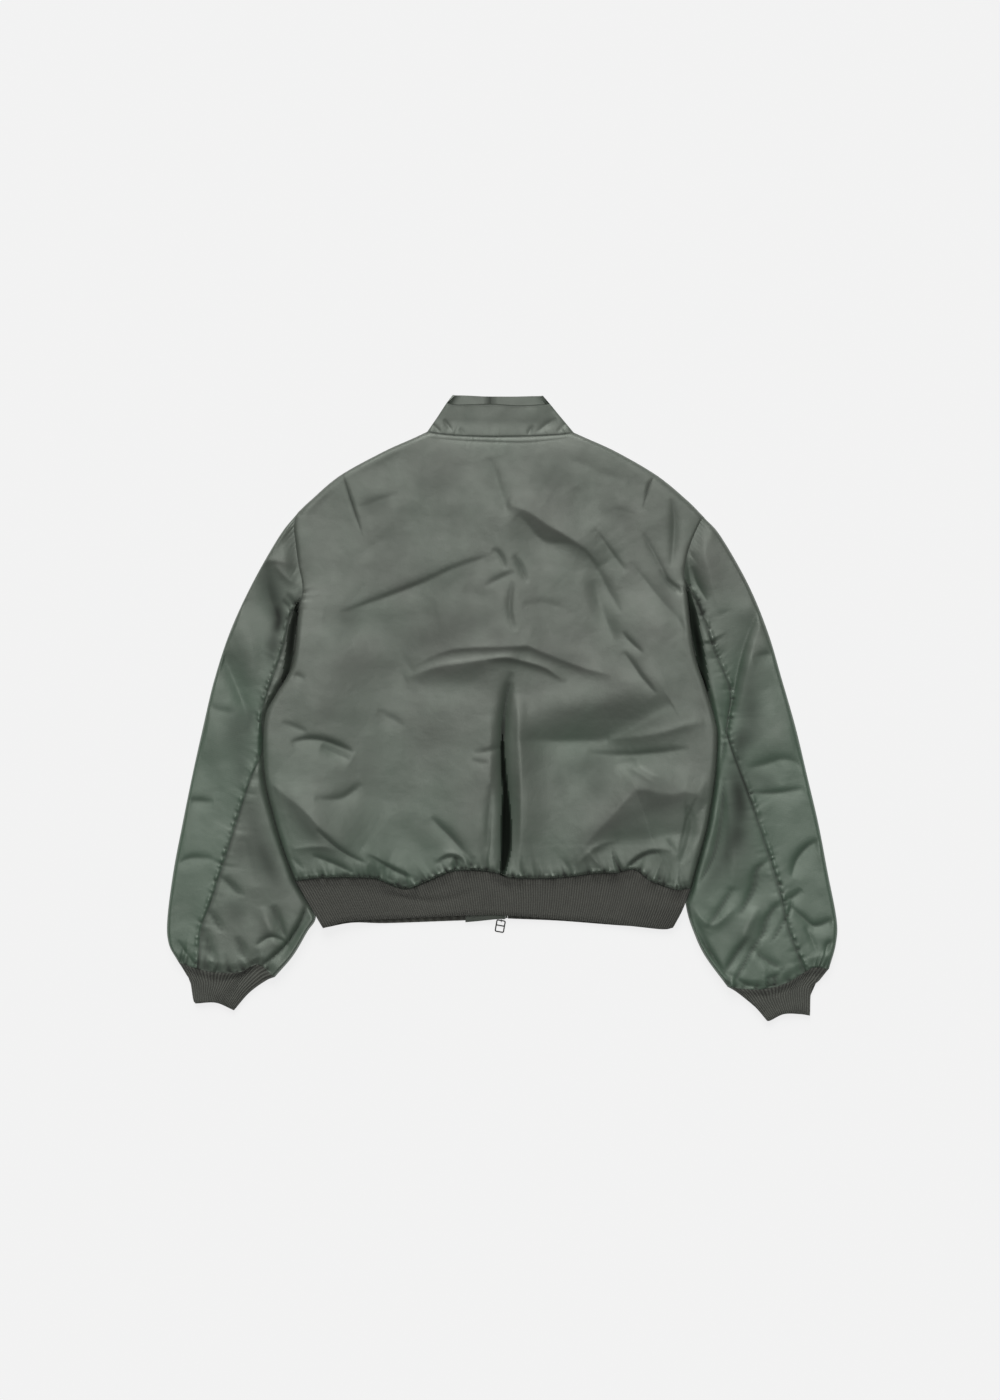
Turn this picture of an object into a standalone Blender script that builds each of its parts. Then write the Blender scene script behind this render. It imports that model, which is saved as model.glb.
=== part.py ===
# A padded nylon bomber jacket with ribbed waistband and cuffs, laid flat on its front.
# +X points to the wearer's right, +Y to the collar and +Z up, out of the jacket's back.
# Every cloth piece is a wall between an outer grid of points and a plainer inner one.
# Z = 0 is the surface that it lies on, and the origin is below the middle of its outline.
import math

import bmesh
import bpy
import numpy as np

# Driving dimensions, in metres
FRONT_WALL = 0.0039
KNIT_WALL = 0.0034
COLLAR_WALL = 0.0030
PADDED_WALL = 0.0086
SEAM_WALL = 0.0026
LAYER_GAP = 0.0011
SEAM_GAP = 0.00025
FOLD_NOSE = 0.0044
FOLD_INSET = 0.0045
INSET_RUN = 0.0087
SLEEVE_HEIGHT = 0.0130
BODY_ROLL = 0.040
SLEEVE_ROLL = 0.042
SLEEVE_LIFT = 0.0096
LIFT_RUN = 0.105
SLEEVE_UNDER_BODY = 0.0082
SLEEVE_TOP_WALL = 0.0018
CLEAR_RISE = 0.030
FLAP_WALL = 0.0014
FLAP_RISE = 0.0029
FLAP_WIDTH = 0.050
ZIP_OPENING = 0.0065
TAPE_EDGE = 0.0015
TAPE_WALL = 0.0010
TAPE_HEIGHT = 0.0027
TAPE_ENDS = (-0.2785, 0.4095)
RIB_HEIGHT = 0.0009
WAISTBAND_RIBS = 159
CUFF_RIBS = 26
BACK_GATHERS = 14
GATHER_HEIGHT = 0.0017
CUFF_GATHER_HEIGHT = 0.0011
PULL_WIRE = 0.0013
PULL_WIDTH = 0.0106
PULL_LENGTH = 0.0152
PULL_YAW = math.radians(-10)
PULL_PIVOT = (-0.0010, -0.2816, 0.0022)

# Outlines in plan, as (x, y): each runs in the direction of its name
NECK_SEAM = (
    (-0.099, 0.364), (-0.069, 0.360), (-0.029, 0.358), (0.011, 0.358), (0.050, 0.359), (0.087, 0.362),
)
WAIST_SEAM = (
    (-0.272, -0.229), (-0.236, -0.225), (-0.172, -0.226), (-0.144, -0.236), (-0.125, -0.240),
    (-0.102, -0.232), (-0.061, -0.216), (-0.012, -0.218), (0.012, -0.225), (0.067, -0.226),
    (0.127, -0.214), (0.160, -0.212), (0.194, -0.226), (0.228, -0.240), (0.249, -0.238),
)
HEM_BACK = (
    (-0.236, -0.291), (-0.202, -0.282), (-0.135, -0.279), (-0.030, -0.274), (0.011, -0.275),
    (0.077, -0.280), (0.127, -0.284), (0.182, -0.290), (0.213, -0.293), (0.226, -0.291),
)
COLLAR_TOP_BACK = ((-0.074, 0.402), (-0.055, 0.400), (-0.016, 0.401), (0.024, 0.399), (0.062, 0.401))
FRONT_CENTRE = ((-0.0152, 0.411), (0.0013, -0.282))

# One row for each side of the wearer. Outlines run from neck to hem, or from the outer fold inwards.
SIDES = {
    "left": {
        "sign": -1,
        "shoulder": (
            (-0.099, 0.364), (-0.116, 0.356), (-0.158, 0.337), (-0.214, 0.306), (-0.252, 0.274),
            (-0.269, 0.258),
        ),
        "armhole": (
            (-0.269, 0.258), (-0.274, 0.240), (-0.272, 0.217), (-0.268, 0.188), (-0.263, 0.162),
            (-0.264, 0.145), (-0.269, 0.126),
        ),
        "side": (
            (-0.269, 0.126), (-0.273, 0.076), (-0.279, 0.048), (-0.298, 0.017), (-0.312, -0.011),
            (-0.315, -0.053), (-0.312, -0.097), (-0.301, -0.143), (-0.288, -0.187), (-0.272, -0.229),
        ),
        "band_side": ((-0.272, -0.229), (-0.236, -0.291)),
        "outer_fold": (
            (-0.269, 0.258), (-0.294, 0.226), (-0.330, 0.163), (-0.359, 0.100), (-0.380, 0.036),
            (-0.395, -0.027), (-0.409, -0.090), (-0.422, -0.154), (-0.434, -0.217), (-0.442, -0.280),
            (-0.440, -0.312), (-0.428, -0.335),
        ),
        "inner_fold": (
            (-0.269, 0.126), (-0.2715, 0.112), (-0.2710, 0.094), (-0.270, 0.072), (-0.268, 0.030),
            (-0.267, -0.017), (-0.263, -0.096), (-0.256, -0.175), (-0.248, -0.247), (-0.246, -0.278),
            (-0.257, -0.296), (-0.276, -0.328), (-0.300, -0.356),
        ),
        "elbow_seam": (
            (-0.265, 0.142), (-0.280, 0.118), (-0.289, 0.076), (-0.312, 0.010), (-0.317, -0.019),
            (-0.315, -0.055), (-0.333, -0.100), (-0.364, -0.197), (-0.384, -0.258), (-0.396, -0.291),
            (-0.401, -0.345),
        ),
        "cuff_seam": (
            (-0.428, -0.335), (-0.404, -0.344), (-0.379, -0.349), (-0.346, -0.349), (-0.322, -0.339),
            (-0.300, -0.356),
        ),
        "cuff_outer": (
            (-0.428, -0.335), (-0.417, -0.353), (-0.412, -0.362), (-0.408, -0.386), (-0.405, -0.391),
        ),
        "cuff_inner": ((-0.300, -0.356), (-0.312, -0.361), (-0.334, -0.377), (-0.354, -0.400)),
        "cuff_end": ((-0.405, -0.391), (-0.378, -0.390), (-0.354, -0.400)),
        "front_neck": ((-0.099, 0.364), (-0.070, 0.353), (-0.020, 0.345)),
        "front_waist": ((-0.272, -0.229), (-0.150, -0.232), (-0.005, -0.222)),
        "front_hem": ((-0.236, -0.291), (-0.198, -0.284), (-0.152, -0.285), (-0.065, -0.282), (-0.005, -0.280)),
        "collar_top": ((-0.065, 0.413), (-0.040, 0.412), (-0.022, 0.411)),
        "lift_end": -0.400,
    },
    "right": {
        "sign": 1,
        "shoulder": (
            (0.087, 0.362), (0.100, 0.360), (0.152, 0.337), (0.205, 0.306), (0.244, 0.274), (0.267, 0.251),
        ),
        "armhole": (
            (0.267, 0.251), (0.261, 0.244), (0.249, 0.217), (0.242, 0.192), (0.240, 0.171), (0.244, 0.154),
        ),
        "side": (
            (0.244, 0.154), (0.253, 0.076), (0.268, 0.027), (0.281, -0.017), (0.284, -0.042),
            (0.281, -0.092), (0.271, -0.155), (0.260, -0.197), (0.249, -0.238),
        ),
        "band_side": ((0.249, -0.238), (0.238, -0.267), (0.226, -0.291)),
        "outer_fold": (
            (0.267, 0.251), (0.289, 0.226), (0.325, 0.163), (0.351, 0.100), (0.370, 0.036),
            (0.388, -0.027), (0.403, -0.090), (0.418, -0.154), (0.430, -0.217), (0.442, -0.280),
            (0.441, -0.312), (0.432, -0.345),
        ),
        "inner_fold": (
            (0.244, 0.154), (0.2470, 0.141), (0.2485, 0.126), (0.248, 0.106), (0.247, 0.079), (0.246, 0.043),
            (0.242, -0.069), (0.239, -0.175), (0.239, -0.228), (0.244, -0.267), (0.253, -0.296),
            (0.268, -0.328), (0.298, -0.369),
        ),
        "elbow_seam": (
            (0.243, 0.162), (0.260, 0.133), (0.279, 0.076), (0.301, 0.023), (0.298, -0.017),
            (0.298, -0.042), (0.329, -0.126), (0.365, -0.238), (0.377, -0.291), (0.400, -0.348),
        ),
        "cuff_seam": (
            (0.432, -0.345), (0.411, -0.343), (0.393, -0.353), (0.378, -0.362), (0.360, -0.368),
            (0.335, -0.372), (0.298, -0.369),
        ),
        "cuff_outer": ((0.432, -0.345), (0.420, -0.360), (0.409, -0.373), (0.407, -0.407)),
        "cuff_inner": ((0.298, -0.369), (0.310, -0.376), (0.329, -0.391), (0.347, -0.407)),
        "cuff_end": ((0.407, -0.407), (0.393, -0.405), (0.372, -0.405), (0.352, -0.414), (0.347, -0.407)),
        "front_neck": ((0.087, 0.362), (0.050, 0.352), (-0.005, 0.345)),
        "front_waist": ((0.249, -0.238), (0.120, -0.226), (0.008, -0.222)),
        "front_hem": ((0.226, -0.291), (0.156, -0.288), (0.077, -0.282), (0.008, -0.279)),
        "collar_top": ((0.054, 0.412), (0.020, 0.411), (-0.008, 0.411)),
        "lift_end": -0.258,
    },
}

# Large folds of the back, as (height, half width, points): a trough has a height below zero
BODY_FOLDS = (
    (-0.0039, 0.016, ((0.018, 0.262), (0.060, 0.235), (0.100, 0.203), (0.125, 0.170), (0.153, 0.130))),
    (0.0039, 0.020, ((0.028, 0.225), (0.070, 0.200), (0.110, 0.150))),
    (-0.0021, 0.014, ((-0.012, 0.200), (-0.055, 0.180), (-0.118, 0.157), (-0.150, 0.145))),
    (0.0031, 0.018, ((-0.015, 0.182), (-0.060, 0.160), (-0.130, 0.132))),
    (-0.0023, 0.013, ((-0.107, 0.059), (-0.029, 0.077), (0.058, 0.068), (0.128, 0.048))),
    (0.0029, 0.020, ((-0.105, 0.080), (-0.025, 0.100), (0.060, 0.090), (0.130, 0.068))),
    (-0.0055, 0.015, ((0.013, 0.038), (0.001, -0.038), (0.005, -0.125), (0.001, -0.205))),
    (0.0039, 0.026, ((-0.048, 0.010), (-0.052, -0.080), (-0.046, -0.160))),
    (0.0034, 0.024, ((0.050, -0.075), (0.052, -0.130), (0.044, -0.185))),
    (-0.0047, 0.016, ((0.028, -0.046), (0.124, -0.038), (0.182, -0.003), (0.214, 0.009))),
    (0.0044, 0.018, ((0.040, -0.020), (0.120, -0.010), (0.190, 0.030))),
    (-0.0029, 0.014, ((0.098, -0.195), (0.145, -0.147), (0.182, -0.108))),
    (-0.0034, 0.014, ((-0.298, -0.117), (-0.232, -0.163), (-0.166, -0.206), (-0.135, -0.224))),
    (0.0029, 0.016, ((-0.280, -0.090), (-0.215, -0.135), (-0.150, -0.180))),
    (-0.0023, 0.012, ((0.132, 0.260), (0.190, 0.185), (0.224, 0.118))),
    (-0.0018, 0.014, ((-0.016, 0.325), (0.003, 0.270), (0.009, 0.253))),
)
SLEEVE_FOLDS = (
    (-0.0018, 0.010, ((-0.314, 0.195), (-0.281, 0.188), (-0.267, 0.184))),
    (-0.0016, 0.012, ((-0.352, 0.030), (-0.330, 0.000), (-0.322, -0.050))),
    (0.0018, 0.018, ((-0.378, -0.060), (-0.372, -0.160), (-0.390, -0.250))),
    (-0.0020, 0.010, ((-0.259, -0.261), (-0.281, -0.308), (-0.311, -0.337))),
    (-0.0016, 0.010, ((-0.394, -0.294), (-0.380, -0.320), (-0.376, -0.345))),
    (-0.0018, 0.011, ((0.262, 0.181), (0.269, 0.135))),
    (-0.0022, 0.011, ((0.296, -0.024), (0.283, -0.082), (0.279, -0.105))),
    (-0.0020, 0.011, ((0.290, -0.110), (0.278, -0.199), (0.264, -0.241))),
    (-0.0018, 0.011, ((0.420, -0.172), (0.388, -0.201), (0.384, -0.218))),
    (0.0020, 0.018, ((0.340, 0.050), (0.365, -0.060), (0.385, -0.150))),
    (-0.0016, 0.011, ((0.331, -0.109), (0.396, -0.109))),
)

# Columns of a sleeve, as (place along the eight steps of the armhole, share of the width).
SLEEVE_TOP_COLUMNS = (
    (0.0, 0.0), (0.15, 0.02), (0.5, 0.06), (1.0, 0.13), (1.5, 0.20), (2.0, 0.27), (2.5, 0.34), (3.0, 0.42),
    (3.5, 0.50), (4.0, 0.57), (4.5, 0.64), (5.0, 0.71), (5.5, 0.78), (6.0, 0.86), (6.5, 0.93), (7.0, 1.0),
)
SLEEVE_UNDER_COLUMNS = ((7.0, 0.0), (7.3, 0.35), (7.6, 0.70), (7.85, 0.92), (8.0, 1.0))
SLEEVE_FLOOR_COLUMNS = (
    (0.0, 0.0), (0.15, 0.015), (0.5, 0.06), (1.0, 0.14), (2.0, 0.28), (3.0, 0.42), (4.0, 0.56), (5.0, 0.68),
    (6.0, 0.80), (7.0, 0.90), (7.6, 0.96), (7.85, 0.985), (8.0, 1.0),
)
FOREARM_SEAM_COLUMN = 7
ARMHOLE_STEPS = 8
SIDE_STEPS = 22
SLEEVE_STEPS = 20
# Below this share, the line beside a seam says too little of which side it lies on.
WEAK_LEAN = 0.25
SHOULDER_STEPS = 17
NECK_STEPS = 16


def along(points, count):
    """A smooth curve through the points, as count + 1 points evenly spaced along its length."""
    points = np.array(points, float)
    before = np.vstack([2 * points[0] - points[1], points[:-1]])[:, None]
    after = np.vstack([points[2:], 2 * points[-1] - points[-2]])[:, None]
    start, end = points[:-1, None], points[1:, None]
    before = before[: len(start)]
    t = np.linspace(0, 1, 17)[None, :, None]
    curve = 0.5 * (
        2 * start + (end - before) * t + (2 * before - 5 * start + 4 * end - after) * t**2
        + (3 * start - before - 3 * end + after) * t**3
    )
    curve = np.vstack([curve[:, :-1].reshape(-1, 2), points[-1:]])
    return at_shares(curve, np.linspace(0, 1, count + 1))


def at_shares(line, shares):
    """Points at these shares of the line's length."""
    reach = np.concatenate([[0], np.cumsum(np.linalg.norm(np.diff(line, axis=0), axis=1))])
    places = np.asarray(shares) * reach[-1]
    return np.stack([np.interp(places, reach, line[:, axis]) for axis in range(line.shape[1])], axis=1)


def patch(first, last, start, end, us, vs):
    """Coons patch: row 0 is first, the last row is last, column 0 is start and the last column is end."""
    us, vs = np.asarray(us)[None, :, None], np.asarray(vs)[:, None, None]
    rows = (1 - vs) * first[None] + vs * last[None]
    columns = (1 - us) * start[:, None] + us * end[:, None]
    corners = (
        (1 - us) * (1 - vs) * first[0] + us * (1 - vs) * first[-1]
        + (1 - us) * vs * last[0] + us * vs * last[-1]
    )
    return rows + columns - corners


def ramp(value):
    """0 below 0, 1 above 1, and a smooth step between."""
    value = np.clip(value, 0, 1)
    return value * value * (3 - 2 * value)


def roll(value, power=2.4):
    """The rounded rise of a folded edge: 0 at the edge, level from 1 on."""
    return (1 - (1 - np.clip(value, 0, 1)) ** power) ** (1 / power)


def distance(plan, line):
    """Distance in plan from each point to a line of points."""
    start, step = line[:-1], np.diff(line, axis=0)
    offset = plan[..., None, :] - start
    share = np.clip((offset * step).sum(-1) / (step * step).sum(-1), 0, 1)
    return np.linalg.norm(offset - share[..., None] * step, axis=-1).min(-1)


def folds(plan, table):
    """Sum of soft troughs and ridges, each a bell across its line that dies out past its ends."""
    height = np.zeros(plan.shape[:-1])
    for rise, half_width, points in table:
        height += rise * np.exp(-((distance(plan, along(points, 12)) / half_width) ** 2))
    return height


def centre_x(y):
    """Where the front edges meet, at this height on the jacket."""
    (top_x, top_y), (bottom_x, bottom_y) = FRONT_CENTRE
    return top_x + (bottom_x - top_x) * (top_y - y) / (top_y - bottom_y)


def body_edge(side):
    """The body's outline below the armpit, down to the hem."""
    return np.vstack([along(side["side"], 40), along(side["band_side"], 8)[1:]])


def sleeve_lift(plan):
    """How far the sleeve under the body's side raises it."""
    x, y = plan[..., 0], plan[..., 1]
    height = np.zeros(x.shape)
    for side in SIDES.values():
        inner = along(side["inner_fold"], 60)[::-1]
        outwards = side["sign"] * (x - np.interp(y, inner[:, 1], inner[:, 0]))
        armpit = side["inner_fold"][0][1]
        over = ramp((outwards + 0.005 + LIFT_RUN) / LIFT_RUN)
        below = ramp((armpit + 0.055 - y) / LIFT_RUN)
        height += SLEEVE_LIFT * over * below * ramp((y - side["lift_end"] + 0.042) / 0.042)
    return height


def flap_rise(plan):
    """How far the wind flap and the zip raise the back over them."""
    x, y = plan[..., 0], plan[..., 1]
    aside = np.abs(x - centre_x(y) + 0.022)
    return FLAP_RISE * ramp((0.090 - aside) / 0.060) * ramp((0.340 - y) / 0.050)


def stitch(faces, one, one_places, two, two_places):
    """Triangles between two chains of points that start and end together."""
    i, j = 0, 0
    while i < len(one) - 1 or j < len(two) - 1:
        step_one = j == len(two) - 1
        if i < len(one) - 1 and not step_one:
            step_one = one_places[i + 1] + one_places[i] <= two_places[j + 1] + two_places[j]
        if step_one:
            faces.append((one[i], one[i + 1], two[j]))
            i += 1
        else:
            faces.append((one[i], two[j + 1], two[j]))
            j += 1


def quads(faces, grid):
    for upper, lower in zip(grid[:-1], grid[1:]):
        faces.extend(zip(upper[:-1], upper[1:], lower[1:], lower[:-1]))


def wall(name, material, outer, inner, keep_rows, keep_columns, closed=False, places=None):
    """A closed solid: outer grid, the inner grid's own edge, and only the kept rows and columns inside it."""
    rows, columns = len(inner), inner.shape[1]
    kept = inner[np.ix_(keep_rows, keep_columns)]
    counts = np.cumsum([0, outer[..., 0].size, inner[..., 0].size])
    points = np.concatenate([outer.reshape(-1, 3), inner.reshape(-1, 3), kept.reshape(-1, 3)])
    skin = np.arange(counts[1]).reshape(outer.shape[:2])
    lip = counts[1] + np.arange(rows * columns).reshape(rows, columns)
    plain = counts[2] + np.arange(kept[..., 0].size).reshape(kept.shape[:2])
    outer_places, inner_places = places or (np.linspace(0, 1, outer.shape[1]), np.linspace(0, 1, columns))
    kept_places = inner_places[keep_columns]
    if closed:
        skin, lip, plain = [np.hstack([grid, grid[:, :1]]) for grid in (skin, lip, plain)]
        outer_places, inner_places, kept_places = [
            np.append(shares, 1.0) for shares in (outer_places, inner_places, kept_places)
        ]
    faces = []
    quads(faces, skin)
    quads(faces, plain)
    for end in (0, -1):
        stitch(faces, skin[end], outer_places, lip[end], inner_places)
        stitch(faces, lip[end], inner_places, plain[end], kept_places)
        if not closed:
            down, inner_down = np.linspace(0, 1, len(skin)), np.linspace(0, 1, rows)
            stitch(faces, skin[:, end], down, lip[:, end], inner_down)
            stitch(faces, lip[:, end], inner_down, plain[:, end], inner_down[keep_rows])
    return solid(name, material, points, faces)


def solid(name, material, points, faces):
    """A mesh object with its faces turned outwards and no loose points."""
    mesh = bpy.data.meshes.new(name)
    mesh.from_pydata([tuple(point) for point in points], [], [tuple(map(int, face)) for face in faces])
    shape = bmesh.new()
    shape.from_mesh(mesh)
    bmesh.ops.delete(shape, geom=[point for point in shape.verts if not point.link_faces], context="VERTS")
    bmesh.ops.recalc_face_normals(shape, faces=shape.faces)
    shape.to_mesh(mesh)
    shape.free()
    mesh.materials.append(material)
    thing = bpy.data.objects.new(name, mesh)
    bpy.context.scene.collection.objects.link(thing)
    return thing


def finish_material(name, colour, roughness, metallic=0.0):
    """A Principled material with this colour and finish."""
    material = bpy.data.materials.new(name)
    material.use_nodes = True
    surface = material.node_tree.nodes["Principled BSDF"]
    surface.inputs["Base Color"].default_value = (*colour, 1.0)
    surface.inputs["Roughness"].default_value = roughness
    surface.inputs["Metallic"].default_value = metallic
    return material


def square_to(line, beside):
    """For each point, the direction square to its line, on the side where the line beside it lies."""
    run = np.gradient(line, axis=0)
    still = np.linalg.norm(run, axis=-1) < 1e-6
    run[still] = (np.roll(line, -1, axis=0) - line)[still]
    square = np.stack([-run[:, 1], run[:, 0]], axis=-1)
    square = square / np.linalg.norm(square, axis=-1, keepdims=True)
    lean = (square * (beside - line)).sum(-1) / np.linalg.norm(beside - line, axis=-1)
    square = square * np.where(lean < 0, -1, 1)[:, None]
    for place in np.flatnonzero(np.abs(lean) < WEAK_LEAN):
        if (square[place] * square[place - 1]).sum() < 0:
            square[place] = -square[place]
    return square


def drawn_in(grid, rows=(True, True), columns=(True, True)):
    """The grid with these edges moved in by the seam gap."""
    moved = grid.copy()
    for wanted, edge, beside in ((rows[0], 0, 1), (rows[1], -1, -2)):
        if wanted:
            moved[edge, :, :2] += SEAM_GAP * square_to(grid[edge, :, :2], grid[beside, :, :2])
    for wanted, edge, beside in ((columns[0], 0, 1), (columns[1], -1, -2)):
        if wanted:
            moved[:, edge, :2] += SEAM_GAP * square_to(grid[:, edge, :2], grid[:, beside, :2])
    return moved


def with_height(plan, height):
    return np.concatenate([plan, height[..., None]], axis=-1)


def body_rows():
    """Shares down the body: the armhole's steps, then the side's."""
    armhole = np.linspace(0, 0.28, ARMHOLE_STEPS + 1)
    return np.concatenate([armhole, np.linspace(0.28, 1, SIDE_STEPS + 1)[1:]])


def side_line(side):
    """Armhole, then side seam, down to the waistband."""
    return np.vstack([along(side["armhole"], ARMHOLE_STEPS), along(side["side"], SIDE_STEPS)[1:]])


def back_plan():
    left, right = SIDES["left"], SIDES["right"]
    top = np.vstack([
        along(left["shoulder"], SHOULDER_STEPS)[::-1], along(NECK_SEAM, NECK_STEPS)[1:],
        along(right["shoulder"], SHOULDER_STEPS)[1:],
    ])
    count = len(top) - 1
    waist = along(WAIST_SEAM, count)
    return patch(top, waist, side_line(left), side_line(right), np.linspace(0, 1, count + 1), body_rows())


def build_back(material):
    """The back panel: thin at its seams, full between them, with its folds and the gathers at its hem."""
    plan = back_plan()
    gap_edges = [along(side[line], 30) for side in SIDES.values() for line in ("shoulder", "side")]
    to_fold = np.min([distance(plan, line) for line in gap_edges], axis=0)
    to_armhole = np.min([distance(plan, along(side["armhole"], 12)) for side in SIDES.values()], axis=0)
    to_neck, to_hem = distance(plan, along(NECK_SEAM, 12)), distance(plan, along(WAIST_SEAM, 40))
    fullness = roll(to_fold / BODY_ROLL) * (0.55 + 0.45 * roll(to_armhole / 0.015))
    fullness = fullness * (0.25 + 0.75 * roll(to_neck / 0.022)) * (0.25 + 0.75 * roll(to_hem / 0.026))
    near_edge = np.minimum(np.minimum(to_fold, to_armhole), np.minimum(to_neck, to_hem))
    fold = folds(plan, BODY_FOLDS) * ramp(near_edge / 0.020)
    columns = np.arange(plan.shape[1])
    waves = np.sin(2 * np.pi * columns * BACK_GATHERS / columns[-1] + 0.4)
    gathers = GATHER_HEIGHT * waves * np.exp(-(((to_hem - 0.010) / 0.016) ** 2)) * ramp(to_fold / 0.030)
    under = FRONT_WALL + LAYER_GAP + sleeve_lift(plan) + flap_rise(plan)
    top = under + SEAM_WALL + (PADDED_WALL - SEAM_WALL) * fullness + fold + gathers
    inner = with_height(plan, under + 0.5 * np.maximum(fold, 0))
    keep_rows = np.array([2, 5, 8, 11, 14, 17, 20, 23, 26, 28])
    keep_columns = np.concatenate([np.arange(1, 10), np.arange(12, 40, 3), np.arange(41, 50)])
    return wall("back", material, drawn_in(with_height(plan, top)), drawn_in(inner), keep_rows, keep_columns)


def front_plan(side):
    """One front, from its side line to the front edge."""
    sign = side["sign"]
    neck = along(side["front_neck"], 6)
    neck[-1, 0] = centre_x(neck[-1, 1]) + sign * ZIP_OPENING
    waist = along(side["front_waist"], 18)
    waist[-1, 0] = centre_x(waist[-1, 1]) + sign * ZIP_OPENING
    top = np.vstack([along(side["shoulder"], 12)[::-1], neck[1:]])
    edge = at_shares(np.array([neck[-1], waist[-1]]), body_rows())
    return patch(top, waist, side_line(side), edge, np.linspace(0, 1, 19), body_rows())


def build_front(key, material):
    """A front panel. It lies on the surface, and its side edge lies over the sleeve."""
    side = SIDES[key]
    plan = front_plan(side)
    lift = sleeve_lift(plan)
    fold_edge = np.minimum(distance(plan, along(side["shoulder"], 30)), distance(plan, along(side["side"], 30)))
    under = lift + 0.0013 * (1 - roll(fold_edge / 0.008))
    outer, inner = with_height(plan, under), with_height(plan, lift + FRONT_WALL)
    keep_rows = np.array([2, 5, 8, 10, 12, 14, 17, 20, 23, 26, 28])
    keep_columns = np.concatenate([np.arange(1, 9), np.arange(10, 18, 3)])
    return wall("front_" + key, material, drawn_in(outer), drawn_in(inner), keep_rows, keep_columns)


def sleeve_cap(side, plan):
    """The greatest height of the sleeve, which is low where the body lies over it."""
    edge = body_edge(side)[::-1]
    x, y = plan[..., 0], plan[..., 1]
    outside = side["sign"] * (x - np.interp(y, edge[:, 1], edge[:, 0]))
    clear = ramp((outside - 0.014) / 0.035) + ramp((y - side["side"][0][1] + 0.010) / 0.016)
    clear = clear + ramp((side["band_side"][-1][1] - 0.004 - y) / 0.030)
    lowest = FRONT_WALL + LAYER_GAP + SLEEVE_TOP_WALL
    return np.clip(sleeve_lift(plan) - LAYER_GAP, lowest, SLEEVE_UNDER_BODY) + CLEAR_RISE * clear


def slid(plan):
    """Each row's first points moved along it, so that column 0 lies one fold inset from its end."""
    moved = plan.copy()
    for row, line in enumerate(plan):
        reach = np.concatenate([[0], np.cumsum(np.linalg.norm(np.diff(line, axis=0), axis=1))])
        places = reach + FOLD_INSET * np.maximum(0, 1 - reach / INSET_RUN)
        moved[row] = at_shares(line, places / reach[-1])
    return moved


def sleeve_plans(side):
    """Plans of the upper piece, the under piece and the two pieces' underside, column 0 at the outer fold."""
    armhole = along(side["armhole"], ARMHOLE_STEPS)
    cuff = along(side["cuff_seam"], 60)
    elbow = along(side["elbow_seam"], SLEEVE_STEPS)
    seam_share = np.linalg.norm(cuff - elbow[-1], axis=1).argmin() / 60
    elbow[0], elbow[-1] = armhole[7], at_shares(cuff, [seam_share])[0]
    outer, inner = along(side["outer_fold"], SLEEVE_STEPS), along(side["inner_fold"], SLEEVE_STEPS)
    rows = np.linspace(0, 1, SLEEVE_STEPS + 1)

    def armhole_points(columns):
        places = np.array(columns)[:, 0]
        steps = np.arange(ARMHOLE_STEPS + 1)
        return np.stack([np.interp(places, steps, armhole[:, axis]) for axis in (0, 1)], axis=1)

    def piece(columns, cuff_from, cuff_to, start, end):
        shares = np.array(columns)[:, 1]
        last = at_shares(cuff, cuff_from + (cuff_to - cuff_from) * shares)
        return patch(armhole_points(columns), last, start, end, shares, rows)

    upper = piece(SLEEVE_TOP_COLUMNS, 0, seam_share, outer, elbow)
    under = piece(SLEEVE_UNDER_COLUMNS, seam_share, 1, elbow, inner)
    floor = piece(SLEEVE_FLOOR_COLUMNS, 0, 1, outer, inner)
    return upper, under, floor


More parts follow.
